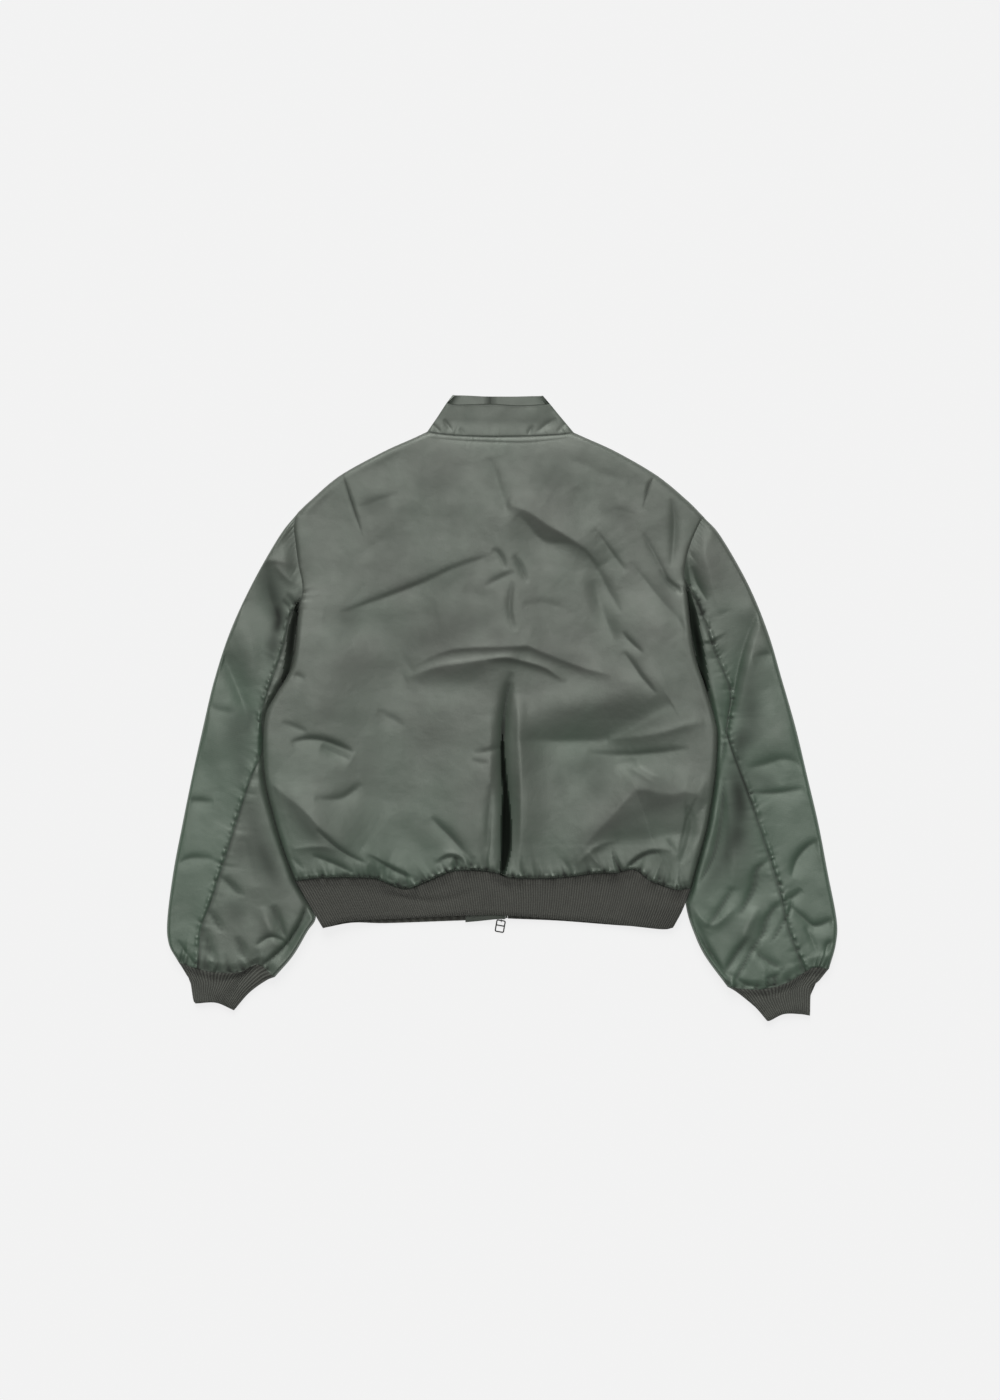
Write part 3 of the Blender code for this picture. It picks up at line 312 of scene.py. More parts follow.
# Meshes
def rim(outer, inner, every, turned):
    # triangles between a fine edge and a coarse one that has one point for each few of it
    j = np.arange(len(outer) - 1)
    near = np.minimum((j + every // 2) // every, len(inner) - 1)
    i = np.arange(len(inner) - 1)
    middle = np.minimum(i * every + (every + 1) // 2, len(outer) - 1)
    faces = np.concatenate([
        np.stack([outer[j + 1], outer[j], inner[near]], axis=1),
        np.stack([inner[i], inner[i + 1], outer[middle]], axis=1),
    ])
    return faces[:, ::-1] if turned else faces


def lowest(grid, reach):
    # lowest value within so many rows and columns of each place
    for axis in (0, 1):
        around = np.pad(grid, [(reach, reach) if a == axis else (0, 0) for a in (0, 1)], mode="edge")
        grid = np.lib.stride_tricks.sliding_window_view(around, 2 * reach + 1, axis=axis).min(-1)
    return grid


# a wall's inner side: its share below the lowest place nearby, its least height on top, how level the top
# is, its least height anywhere, and the painted shade from which a face takes the shaded copy of the nylon
innerLimits = {"belowTop": 0.6, "leastTop": 2.4 * mm, "level": 0.4, "least": 0.3 * mm, "shadedCopyFrom": 0.42}


def coarser(count, every):
    # every few of so many rows, and always the last
    return np.unique(np.append(np.arange(0, count, every), count - 1))


def quads(grid):
    # a square for each cell of a grid of point numbers, by its four corners in turn
    return np.stack([grid[:-1, :-1], grid[:-1, 1:], grid[1:, 1:], grid[1:, :-1]], axis=-1).reshape(-1, 4)


def shell(name, skin, wall, material, every=8, wraps=False, up=True, fields=None, deep=None):
    # closed cloth wall: the fine grid outside, a coarse grid inside it by the wall along the surface's
    # normals, and triangles round the edges; a grid that wraps is closed from last column to first
    rows, columns = skin.shape[:2]
    inRows = coarser(rows, every)
    inColumns = np.arange(0, columns, every) if wraps else coarser(columns, every)
    kept = np.ix_(inRows, inColumns)
    coarse = skin[kept]
    ringed = np.concatenate([coarse[:, -1:], coarse, coarse[:, :1]], axis=1) if wraps else coarse
    normal = np.cross(np.gradient(ringed, axis=1), np.gradient(ringed, axis=0))
    normal = normal[:, 1:-1] if wraps else normal
    normal /= np.maximum(np.linalg.norm(normal, axis=-1, keepdims=True), 1e-12)
    outwards = 1 if (normal[:, : max(2, len(inColumns) // 8), 2].mean() > 0) == up else -1
    inside = coarse - outwards * wall * normal
    # on top the inner side stays under the deepest crease nearby
    below = lowest(skin[..., 2], every)[kept] - innerLimits["belowTop"] * wall
    below = np.maximum(below, innerLimits["leastTop"])
    level = outwards * normal[..., 2] > innerLimits["level"]
    inside[..., 2] = np.where(level, np.minimum(inside[..., 2], below), inside[..., 2])
    inside[..., 2] = np.maximum(inside[..., 2], innerLimits["least"])
    points = np.concatenate([skin.reshape(-1, 3), inside.reshape(-1, 3)])
    fine = np.arange(rows * columns).reshape(rows, columns)
    plain = rows * columns + np.arange(len(inRows) * len(inColumns)).reshape(len(inRows), len(inColumns))
    if wraps:
        fine, plain = np.hstack([fine, fine[:, :1]]), np.hstack([plain, plain[:, :1]])
    triangles = [rim(fine[0], plain[0], every, False), rim(fine[-1], plain[-1], every, True)]
    if not wraps:
        triangles += [rim(fine[:, 0], plain[:, 0], every, True), rim(fine[:, -1], plain[:, -1], every, False)]
    squares, triangles = np.concatenate([quads(fine), quads(plain)[:, ::-1]]), np.concatenate(triangles)
    if outwards > 0:
        squares, triangles = squares[:, ::-1], triangles[:, ::-1]
    across, down = travelled(skin, 1), travelled(skin, 0)
    flat = np.stack([across - across[:, columns // 2][:, None], -down], axis=-1)
    flat = np.concatenate([flat.reshape(-1, 2), flat[kept].reshape(-1, 2)])
    values = {key: np.concatenate([grid.ravel(), grid[kept].ravel()]) for key, grid in (fields or {}).items()}
    made = meshObject(name, points, squares.tolist() + triangles.tolist(), material, flat, values)
    if deep is not None:
        # faces deep in a pleat take the shaded copy of the nylon, with little gloss: painted shade
        made.data.materials.append(nylonShadedCopy)
        deep = np.concatenate([deep.ravel(), deep[kept].ravel()])
        slots = np.zeros(len(made.data.polygons), np.int32)
        slots[: len(squares)] = deep[squares].mean(axis=1) > innerLimits["shadedCopyFrom"]
        made.data.polygons.foreach_set("material_index", slots)
    return made


def meshObject(name, points, faces, material, flat=None, values=None, sharp=40):
    # one object of these points and faces, smooth but for edges sharper than the angle
    mesh = bpy.data.meshes.new(name)
    mesh.from_pydata(points.tolist(), [], faces)
    mesh.polygons.foreach_set("use_smooth", np.ones(len(mesh.polygons), bool))
    if sharp:
        mesh.set_sharp_from_angle(angle=math.radians(sharp))
    if flat is not None:
        corner = np.empty(len(mesh.loops), np.int32)
        mesh.loops.foreach_get("vertex_index", corner)
        mesh.uv_layers.new(name="cloth").data.foreach_set("uv", flat[corner].astype(np.float32).ravel())
    for key, value in (values or {}).items():
        mesh.attributes.new(key, "FLOAT", "POINT").data.foreach_set("value", value.astype(np.float32))
    mesh.materials.append(material)
    thing = bpy.data.objects.new(name, mesh)
    bpy.context.scene.collection.objects.link(thing)
    return thing


def withHeight(plan, height):
    # points in space from their plan and their height
    return np.concatenate([plan, height[..., None]], axis=-1)


def heightOn(points, line):
    # height of a line in space at the places nearest to these points in plan
    place = nearLine(points, line[:, :2])[1]
    return np.interp(place, lengths(line[:, :2]), line[:, 2])


def dress(piece, nodeName, body="jacket"):
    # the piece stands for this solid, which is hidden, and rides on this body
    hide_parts(nodeName)
    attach(piece, body)


# Materials
def newMaterial(name):
    # a material, its nodes and its surface shader
    material = bpy.data.materials.new(name)
    material.use_nodes = True
    nodes = material.node_tree.nodes
    return material, nodes, nodes["Principled BSDF"]


def feed(made, settings):
    # each setting is a property of the node, or for an input another node's output, a colour or a number
    for key, value in settings.items():
        if isinstance(key, str) and key not in made.inputs:
            setattr(made, key, value)
        elif isinstance(value, bpy.types.NodeSocket):
            made.id_data.links.new(value, made.inputs[key])
        else:
            made.inputs[key].default_value = (*value, 1) if isinstance(value, tuple) else value


def node(nodes, kind, *values, **settings):
    # a node, with values for its first inputs in turn
    made = nodes.new(kind)
    feed(made, {**settings, **dict(enumerate(values))})
    return made


def attribute(nodes, name):
    # a value that the mesh carries at its points
    return node(nodes, "ShaderNodeAttribute", attribute_name=name).outputs["Fac"]


def noise(nodes, place, scale, detail, roughness):
    # cloudy values from 0 to 1 through space
    made = node(nodes, "ShaderNodeTexNoise", Vector=place, Scale=scale, Detail=detail, Roughness=roughness)
    return made.outputs["Fac"]


def scaled(nodes, value, times, plus, clamp=False):
    # value x times + plus
    made = node(nodes, "ShaderNodeMath", value, times, plus, operation="MULTIPLY_ADD", use_clamp=clamp)
    return made.outputs[0]


def mixed(nodes, share, first, second, blend="MIX"):
    # colour between two colours, or with MULTIPLY their product to this share
    made = node(nodes, "ShaderNodeMix", data_type="RGBA", blend_type=blend, Factor=share, A=first, B=second)
    return made.outputs["Result"]


def bumps(nodes, *layers):
    # bumps on top of each other, each a height, a strength and a depth
    normal = None
    for height, strength, depth in layers:
        bump = node(nodes, "ShaderNodeBump", Height=height, Strength=strength, Distance=depth)
        if normal:
            feed(bump, {"Normal": normal})
        normal = bump.outputs["Normal"]
    return normal


nylonLook = {
    # the grey, the green, and the near black that painted shade mixes into the colour
    "grey": (0.086, 0.090, 0.078), "green": (0.066, 0.111, 0.075), "paintedShadeColour": (0.003, 0.004, 0.003),
    # noises: scale, detail and roughness; bumps: strength and depth
    "cloud": (14.0, 3.0, 0.55), "cloudShare": 0.7, "ripple": (70.0, 4.0, 0.5), "rippleBump": (0.6, 0.0007),
    "weavePitch": 0.7 * mm, "weaveBump": (0.5, 0.00003), "fleck": 0.10,
    "roughness": 0.50, "roughnessSpread": 0.14, "dulling": 0.5, "ior": 1.65, "gloss": (0.93, 1.0, 0.90),
}


def nylonMaterial(look, name, level):
    # satin nylon: grey and green mixed by the piece's tint, which is greener in the folds' troughs as a
    # painted sheen, a twill line, faint ripples of the padding, and darker and duller where painted shade
    # lies
    material, nodes, surface = newMaterial(name)
    cloth = node(nodes, "ShaderNodeUVMap", uv_map="cloth").outputs["UV"]
    place = node(nodes, "ShaderNodeTexCoord").outputs["Object"]
    cloud = noise(nodes, place, *look["cloud"])
    clouds = scaled(nodes, cloud, look["cloudShare"], -0.5 * look["cloudShare"])
    green = scaled(nodes, attribute(nodes, "tint"), 1.0, clouds, True)
    twill = node(
        nodes, "ShaderNodeTexWave", wave_type="BANDS", bands_direction="DIAGONAL",
        Vector=cloth, Scale=0.2 / look["weavePitch"],
    )
    colour = mixed(nodes, green, look["grey"], look["green"])
    colour = mixed(nodes, look["fleck"], colour, twill.outputs["Color"], "MULTIPLY")
    shade = attribute(nodes, "shade")
    ripple = noise(nodes, place, *look["ripple"])
    shine = scaled(nodes, ripple, look["roughnessSpread"], look["roughness"] - look["roughnessSpread"] / 2)
    feed(surface, {
        "Base Color": mixed(nodes, shade, colour, look["paintedShadeColour"]),
        "Roughness": scaled(nodes, shade, look["dulling"], shine, True),
        "Normal": bumps(nodes, (ripple, *look["rippleBump"]), (twill.outputs["Fac"], *look["weaveBump"])),
        "Specular IOR Level": level, "IOR": look["ior"], "Specular Tint": look["gloss"],
    })
    return material


nylon = nylonMaterial(nylonLook, "nylon satin", 1.0)
# a shaded copy of the nylon with little gloss, for faces deep in pleats: painted shade
nylonShadedCopy = nylonMaterial(nylonLook, "nylon satin in deep pleats", 0.1)

# The back
backShape = {
    "columns": 320, "rows": 288, "wall": 2.0 * mm, "under": 5.0 * mm, "padding": 8.4 * mm, "roll": 9 * mm,
    "foldWall": 0.6 * mm, "seamWall": 2.6 * mm, "seamRoll": 4 * mm,
    # where the armhole ends down the sides, and where the neck begins and ends along the top
    "armholeEnd": 0.28, "neck": (0.34, 0.66),
    # how far from a seam the padding is full, and the share of it at the seam
    "armholeFull": (16 * mm, 0.74), "neckFull": (28 * mm, 0.30), "hemFull": (14 * mm, 0.30),
    # the folds die out towards every seam: the distance where they begin and the length of their rise
    "foldFade": 16 * mm, "armholeFade": (-2 * mm, 8 * mm), "neckFade": (-1 * mm, 12 * mm),
    "hemFade": (-3 * mm, 10 * mm),
    # length, height and seed of the broad waves; height, pitch, reach and seed of puckers
    "waves": ((110 * mm, 0.5 * mm, 3), (45 * mm, 0.12 * mm, 4)),
    "hemPuckers": ((1.8 * mm, 12 * mm, 12 * mm, 11), (0.9 * mm, 4.5 * mm, 6 * mm, 12)),
    "neckPuckers": (0.35 * mm, 8 * mm, 7 * mm, 13),
    "armholePuckers": (0.8 * mm, 9 * mm, 10 * mm), "armholeSeed": 14, "smoothTop": (50 * mm, 80 * mm),
    # the ruched strip over the hem: its middle, half width, height, how far it is ruched, and seed
    "strip": (4.0 * mm, 2.2 * mm), "stripHeight": 0.7 * mm, "stripRuche": 0.9 * mm, "stripSeed": 19,
    # share of green at the top, more of it down to the hem from this height and over this length, less of
    # it right of the middle, and less for each mm of a fold: a painted sheen, greyer on ridges, greener in
    # troughs
    "green": 0.24, "greenBelow": 0.60, "greenFrom": 50 * mm, "greenOver": 300 * mm, "greenSide": 120 * mm,
    "paintedFoldSheen": 0.04,
    # share of light lost in the strip, the gathers, the seams and the hollows
    "stripShade": 0.6, "gatherShade": 0.9,
    "gathers": ((1.0, 6.4 * mm, 7.0 * mm, 18), (0.5, 12 * mm, 10 * mm, 11)),
    "hemShade": (0.2, 1.2 * mm), "neckShade": (0.5, 1.4 * mm), "armholeShade": (0.35, 1.4 * mm),
    "hollowShade": (0.6, 1.1 * mm), "darkest": 0.96,
}
# height, width on the left, width on the right, sharpness and points, in mm
backCreases = (
    # between the shoulders
    (-2.0, 7, 16, 1.4, ((-16, 330), (-8, 306), (2, 276), (9, 254))),
    (5.6, 46, 13, 1.3, (
        (6, 268), (18, 264), (39, 256), (60, 241), (81, 229), (101, 216), (116, 204), (128, 186),
    )),
    (-2.4, 8, 26, 1.3, ((20, 255), (34, 241), (47, 225), (62, 217), (82, 216), (100, 212))),
    (-3.2, 9, 26, 1.25, ((96, 214), (112, 202), (124, 184), (136, 162), (147, 143), (157, 125))),
    (-1.9, 4, 20, 1.15, ((122, 236), (134, 219), (148, 200), (165, 178))),
    (-2.4, 8, 20, 1.3, ((168, 192), (188, 168), (212, 138), (230, 118), (244, 96))),
    (-1.0, 14, 18, 2.0, ((96, 290), (108, 262), (120, 240))),
    (-1.0, 9, 9, 1.6, ((76, 342), (90, 326), (112, 318), (136, 306), (164, 300))),
    (-1.1, 22, 22, 2.0, ((-46, 326), (-82, 290), (-120, 240), (-160, 212))),
    (-2.3, 4, 24, 1.15, (
        (-214, 124), (-176, 138), (-138, 152), (-102, 166), (-68, 182), (-38, 193), (-8, 203),
    )),
    (-2.4, 26, 24, 1.8, ((-236, 118), (-190, 112), (-140, 112), (-84, 124))),
    (1.0, 30, 20, 2.0, ((-190, 150), (-110, 178), (-30, 208))),
    (-2.0, 4, 6, 1.2, ((-14, 208), (-3, 202), (6, 182))),
    (-1.8, 4, 10, 1.2, ((-24, 160), (-4, 170), (17, 180))),
    (-2.0, 4, 5, 1.3, ((16, 202), (26, 184), (34, 164))),
    (-2.4, 4, 6, 1.2, ((14, 166), (10, 136), (12, 118), (18, 100))),
    (-1.0, 12, 14, 1.8, ((-52, 156), (-30, 146), (-4, 146))),
    (-0.9, 6, 12, 1.5, ((26, 134), (54, 138), (84, 130))),
    (-1.0, 5, 10, 1.4, ((-192, 262), (-166, 272), (-136, 282))),
    (-0.7, 9, 12, 1.6, ((-192, 200), (-168, 214), (-140, 236))),
    (-0.8, 4, 12, 1.3, ((144, 262), (160, 259), (178, 254))),
    (-2.8, 7, 6, 1.3, ((224, 276), (227, 246), (226, 216), (222, 184))),
    (-1.6, 4, 5, 1.2, ((186, 230), (202, 200), (220, 166))),
    (-2.2, 4, 5, 1.2, ((208, 182), (220, 166), (242, 150))),
    (-1.8, 3, 4, 1.2, ((214, 172), (228, 156), (246, 146))),
    (-2.6, 11, 14, 1.5, ((120, 168), (127, 140), (142, 104), (150, 84))),
    (1.2, 16, 12, 1.8, ((104, 180), (112, 140), (126, 100))),
    # darts and the neck's topstitching
    (-1.1, 2.2, 2.4, 1.5, ((-209, 307), (-196, 265), (-185, 232))),
    (-1.1, 2.2, 2.4, 1.5, ((201, 306), (193, 292), (187, 271))),
    (-0.5, 2.2, 2.4, 1.6, ((-95, 356), (-55, 353), (-16, 351), (30, 350), (63, 353), (86, 356))),
    # arcs across the waist
    (5.4, 34, 9, 1.25, (
        (-120, 52), (-96, 66), (-66, 77), (-18, 80), (10, 80), (29, 83), (55, 73), (80, 63), (112, 51),
        (148, 42),
    )),
    (4.4, 9, 16, 1.35, ((-128, 38), (-88, 53), (-50, 59), (-16, 64), (8, 66), (22, 63))),
    (3.4, 8, 5, 1.25, ((-20, 63), (6, 66), (33, 60), (60, 51), (84, 34))),
    (-1.6, 20, 26, 1.8, ((-112, 32), (-64, 28), (-20, 38))),
    # the deep fold down the middle, and the creases that run into it
    (-3.6, 6, 9, 1.3, ((14, 46), (11, 32), (7, 12), (4, -10), (2, -44))),
    (-9.8, 7.5, 6, 1.2, ((9, 34), (4, 4), (1, -30), (1, -70), (5, -122), (4, -170), (2, -212), (-4, -250))),
    (4.0, 24, 7, 1.5, ((20, 16), (24, -50), (25, -110), (25, -170), (22, -214))),
    (2.6, 8, 30, 1.7, ((-16, -10), (-16, -60), (-17, -120), (-16, -204))),
    (-3.2, 5, 7, 1.25, ((-14, -100), (-17, -147), (-19, -180), (-22, -210))),
    (-1.8, 4, 8, 1.2, ((-38, -60), (-18, -57), (4, -51))),
    (-1.2, 4, 7, 1.3, ((-40, -68), (-28, -72), (-16, -72))),
    (-3.4, 6, 8, 1.15, ((-94, -144), (-80, -158), (-66, -172), (-40, -202))),
    # right side
    (-9.0, 27, 46, 1.15, ((20, -43), (67, -44), (118, -44), (144, -41), (165, -29), (190, -12), (222, 8))),
    (1.8, 8, 10, 1.5, ((132, -50), (160, -36), (190, -20), (224, 0))),
    (4.0, 12, 15, 1.25, ((140, -41), (165, -40), (203, -34), (237, -24), (266, -18))),
    (-3.0, 5, 18, 1.15, ((112, -59), (160, -62), (194, -60), (246, -53))),
    (-1.0, 4, 10, 1.4, ((146, -75), (162, -72), (178, -70))),
    (0.9, 4, 5, 1.3, ((170, -80), (186, -90), (202, -100))),
    (0.8, 4, 4, 1.3, ((178, -78), (194, -88), (208, -92))),
    (-1.8, 3, 8, 1.15, ((158, 100), (170, 86), (186, 72))),
    (-2.8, 4, 14, 1.15, ((160, 74), (172, 58), (184, 40), (203, 18))),
    (3.4, 26, 26, 2.0, ((34, -4), (80, 4), (130, 10), (176, 24), (216, 40))),
    (9.0, 26, 30, 1.15, (
        (84, -206), (99, -192), (123, -164), (138, -149), (155, -129), (172, -110), (184, -106),
        (204, -112), (228, -114), (250, -110), (270, -124),
    )),
    (-3.4, 20, 14, 1.6, ((112, -196), (150, -176), (186, -172), (230, -166), (262, -166))),
    (2.0, 6, 8, 1.3, ((96, -208), (120, -186), (138, -178), (152, -176))),
    (1.8, 4, 5, 1.3, ((112, -188), (124, -202), (136, -216))),
    (2.2, 9, 5, 1.2, ((156, -216), (174, -198), (192, -188), (210, -186), (230, -188))),
    (-3.4, 3, 8, 1.2, ((158, -219), (175, -202), (192, -192), (210, -190))),
    (-1.6, 4, 5, 1.3, ((216, -172), (222, -182), (230, -192))),
    (-2.8, 6, 7, 1.4, ((242, -128), (250, -150), (244, -180), (234, -206))),
    # left side
    (-3.6, 4, 16, 1.15, ((-278, -46), (-256, -41), (-234, -43), (-214, -50), (-194, -59))),
    (-3.0, 9, 9, 1.3, ((-238, -50), (-222, -58), (-200, -68))),
    (-2.6, 6, 12, 1.25, ((-246, -119), (-228, -121), (-211, -119), (-198, -111), (-184, -100))),
    (-1.1, 5, 12, 1.4, ((-164, -4), (-148, -12), (-128, -24))),
    (-1.2, 4, 10, 1.4, ((-290, -18), (-276, -24), (-256, -32))),
    (-1.2, 4, 8, 1.4, ((-284, 42), (-272, 43), (-258, 38))),
    (7.6, 34, 19, 1.15, (
        (-306, -98), (-291, -110), (-270, -126), (-256, -138), (-236, -160), (-218, -177), (-200, -191),
        (-180, -202), (-156, -214),
    )),
    (-4.2, 8, 6, 1.2, ((-244, -160), (-218, -183), (-198, -196), (-176, -206))),
    (2.0, 6, 8, 1.2, ((-278, -186), (-250, -183), (-226, -184), (-206, -196))),
    (-2.8, 4, 6, 1.2, ((-250, -194), (-222, -205), (-194, -218))),
    (-1.2, 4, 6, 1.3, ((-284, -194), (-270, -204), (-260, -214))),
    (2.2, 12, 6, 1.2, ((-184, -186), (-146, -208), (-110, -224))),
    (-2.8, 4, 6, 1.2, ((-176, -194), (-146, -212), (-116, -226))),
    (1.8, 4, 6, 1.3, ((-90, -202), (-72, -192), (-55, -194), (-46, -204))),
    (-2.0, 3, 5, 1.3, ((-88, -207), (-72, -197), (-57, -199), (-50, -208))),
    (-4.5, 4, 4, 1.3, ((-62, -196), (-60, -206), (-62, -220))),
    (-1.4, 4, 4, 1.3, ((-36, -196), (-40, -206), (-38, -220))),
    (-1.3, 22, 24, 2.0, ((-150, -150), (-110, -186), (-70, -206))),
)


# where a pleat is too deep for light to reach its bottom: share of the light lost, widths, sharpness and
# points
pleatShades = (
    (0.93, 5.5, 4.5, 2.4, (
        (3, -4), (1.5, -24), (0.5, -42), (1, -72), (5, -122), (4.5, -170), (2, -205), (-2, -236),
        (-4, -270),
    )),
    (0.90, 8, 7.5, 3.2, ((3.5, -112), (5.5, -150), (6, -180), (4, -202), (1, -214), (-1, -222))),
    (0.97, 6.5, 6, 2.8, ((243, 172), (247, 148), (252, 122), (257, 94), (262, 66), (268, 38), (276, 2))),
    (0.45, 1.5, 1.5, 2.0, ((-102, 357), (-55, 353), (-16, 351), (30, 350), (63, 353), (93, 357))),
    (0.6, 1.4, 1.4, 2.0, ((-212, 316), (-196, 265), (-182, 224))),
    (0.6, 1.4, 1.4, 2.0, ((203, 312), (193, 292), (185, 262))),
    (0.86, 5, 6.5, 2.8, ((-264, 158), (-270, 130), (-276, 104), (-279, 78), (-284, 50), (-296, 16))),
)
# broad soft patches where the satin turns from the light: the same five values
satinShades = (
    (0.66, 13, 13, 1.7, ((-316, 196), (-306, 162), (-297, 128), (-294, 98))),
    (0.58, 14, 17, 1.8, ((312, -30), (310, -76), (313, -112), (309, -160), (287, -210), (256, -256))),
    (0.42, 16, 16, 2.0, ((332, 12), (327, -22), (322, -56))),
    (0.50, 9, 9, 2.0, ((-296, 116), (-300, 92), (-305, 56))),
    (0.36, 20, 20, 2.0, ((-352, 10), (-350, -20), (-342, -76))),
    (0.38, 15, 15, 1.8, ((-334, -118), (-326, -160), (-308, -205), (-284, -246))),
    (0.30, 15, 15, 2.0, ((-358, -250), (-344, -290))),
    (0.34, 22, 22, 1.8, ((84, -88), (118, -76), (160, -64))),
    (0.38, 20, 20, 1.8, ((168, -118), (200, -108), (240, -108))),
    (0.22, 10, 10, 1.8, ((110, -186), (150, -178), (224, -180))),
    (0.30, 9, 9, 1.8, ((-290, -96), (-268, -140), (-238, -176), (-186, -199))),
    (0.28, 26, 26, 1.8, ((-182, 114), (-110, 92), (-40, 112), (0, 150))),
    (0.20, 16, 16, 1.8, ((-96, 158), (-66, 172), (-30, 190))),
    (0.17, 28, 28, 1.7, ((-118, 288), (-80, 304), (-46, 312))),
    (0.24, 12, 12, 1.8, ((-188, 260), (-168, 268), (-146, 276))),
    (0.15, 26, 26, 1.8, ((-176, 206), (-146, 216), (-110, 230))),
    (0.18, 26, 26, 1.8, ((36, 290), (70, 306), (96, 316))),
    (0.26, 12, 12, 1.8, ((126, 264), (156, 256), (180, 244))),
    (0.28, 13, 13, 1.8, ((206, 206), (214, 160), (226, 118))),
    (0.20, 12, 12, 1.8, ((36, 70), (80, 66), (120, 60))),
    (0.60, 6, 7, 1.8, ((257, 152), (261, 134), (263, 114))),
    (0.30, 15, 15, 1.8, ((322, -84), (342, -94), (366, -98))),
    (0.30, 8, 8, 1.8, ((240, -240), (246, -262), (250, -280))),
    (0.36, 12, 12, 1.8, ((92, -186), (130, -160), (180, -138), (250, -116))),
    (0.22, 10, 10, 1.8, ((140, -8), (208, -20), (250, -14))),
    (0.20, 14, 14, 1.8, ((77, -66), (77, -96), (80, -124))),
    (0.35, 13, 13, 1.8, ((303, -82), (308, -104), (314, -124), (318, -150))),
    (0.26, 14, 14, 1.8, ((318, 60), (326, 20), (330, -14))),
    (0.30, 10, 10, 1.8, ((-333, 2), (-333, -20), (-336, -38))),
    (0.30, 12, 12, 1.8, ((-340, -60), (-344, -86), (-340, -112))),
    (0.26, 12, 12, 1.8, ((-318, -180), (-306, -215), (-296, -240))),
    (0.50, 7, 7, 1.8, ((-297, 136), (-294, 115), (-297, 98))),
    (0.22, 18, 18, 1.8, ((-206, 135), (-201, 115), (-190, 96))),
    (0.22, 18, 18, 1.8, ((112, -92), (129, -109), (142, -126))),
    (0.26, 12, 12, 1.8, ((158, -160), (182, -162), (206, -166))),
    (0.18, 16, 16, 1.8, ((-6, 110), (-3, 89), (2, 68))),
    (0.34, 12, 12, 1.8, ((316, -24), (314, -43), (312, -64))),
    (0.26, 12, 12, 1.8, ((317, -156), (314, -175), (310, -196))),
    (0.24, 12, 12, 1.8, ((-348, -168), (-346, -188), (-344, -208))),
)


def downBody(side, rows, armholeEnd):
    # armhole, then side seam, as rows + 1 points, with the armhole on the first share of the rows
    armhole, below = curveThrough(side["armhole"], 80), curveThrough(side["side"], 160)
    line = np.vstack([armhole, below[1:]])
    places = np.interp(evenly(rows), (0, armholeEnd, 1), (0, lengths(armhole)[-1], lengths(line)[-1]))
    return atShares(line, places / lengths(line)[-1])


def backPlan(shape):
    # the back's outline filled as a patch: shoulders and neck above, waist seam below, body sides between
    left, right = [downBody(side, shape["rows"], shape["armholeEnd"]) for side in sides.values()]
    shoulders = [curveThrough(side["shoulder"], 80) for side in sides.values()]
    top = np.vstack([shoulders[0][::-1], curveThrough(neckSeam, 80)[1:], shoulders[1][1:]])
    # shoulders and neck along the top take the same shares of the columns as the waist seam below them
    share = evenly(shape["columns"])
    topShares = np.interp(share, (0, *shape["neck"], 1), lengths(top)[[0, 80, 160, 240]] / lengths(top)[-1])
    bottom = curveThrough(waistSeam, shape["columns"])
    return patch(atShares(top, topShares), bottom, left, right, share, evenly(shape["rows"]))


def gathered(wave):
    # the hollows of a wave, from a little below its middle
    return np.clip(-wave - 0.10, 0, 1)


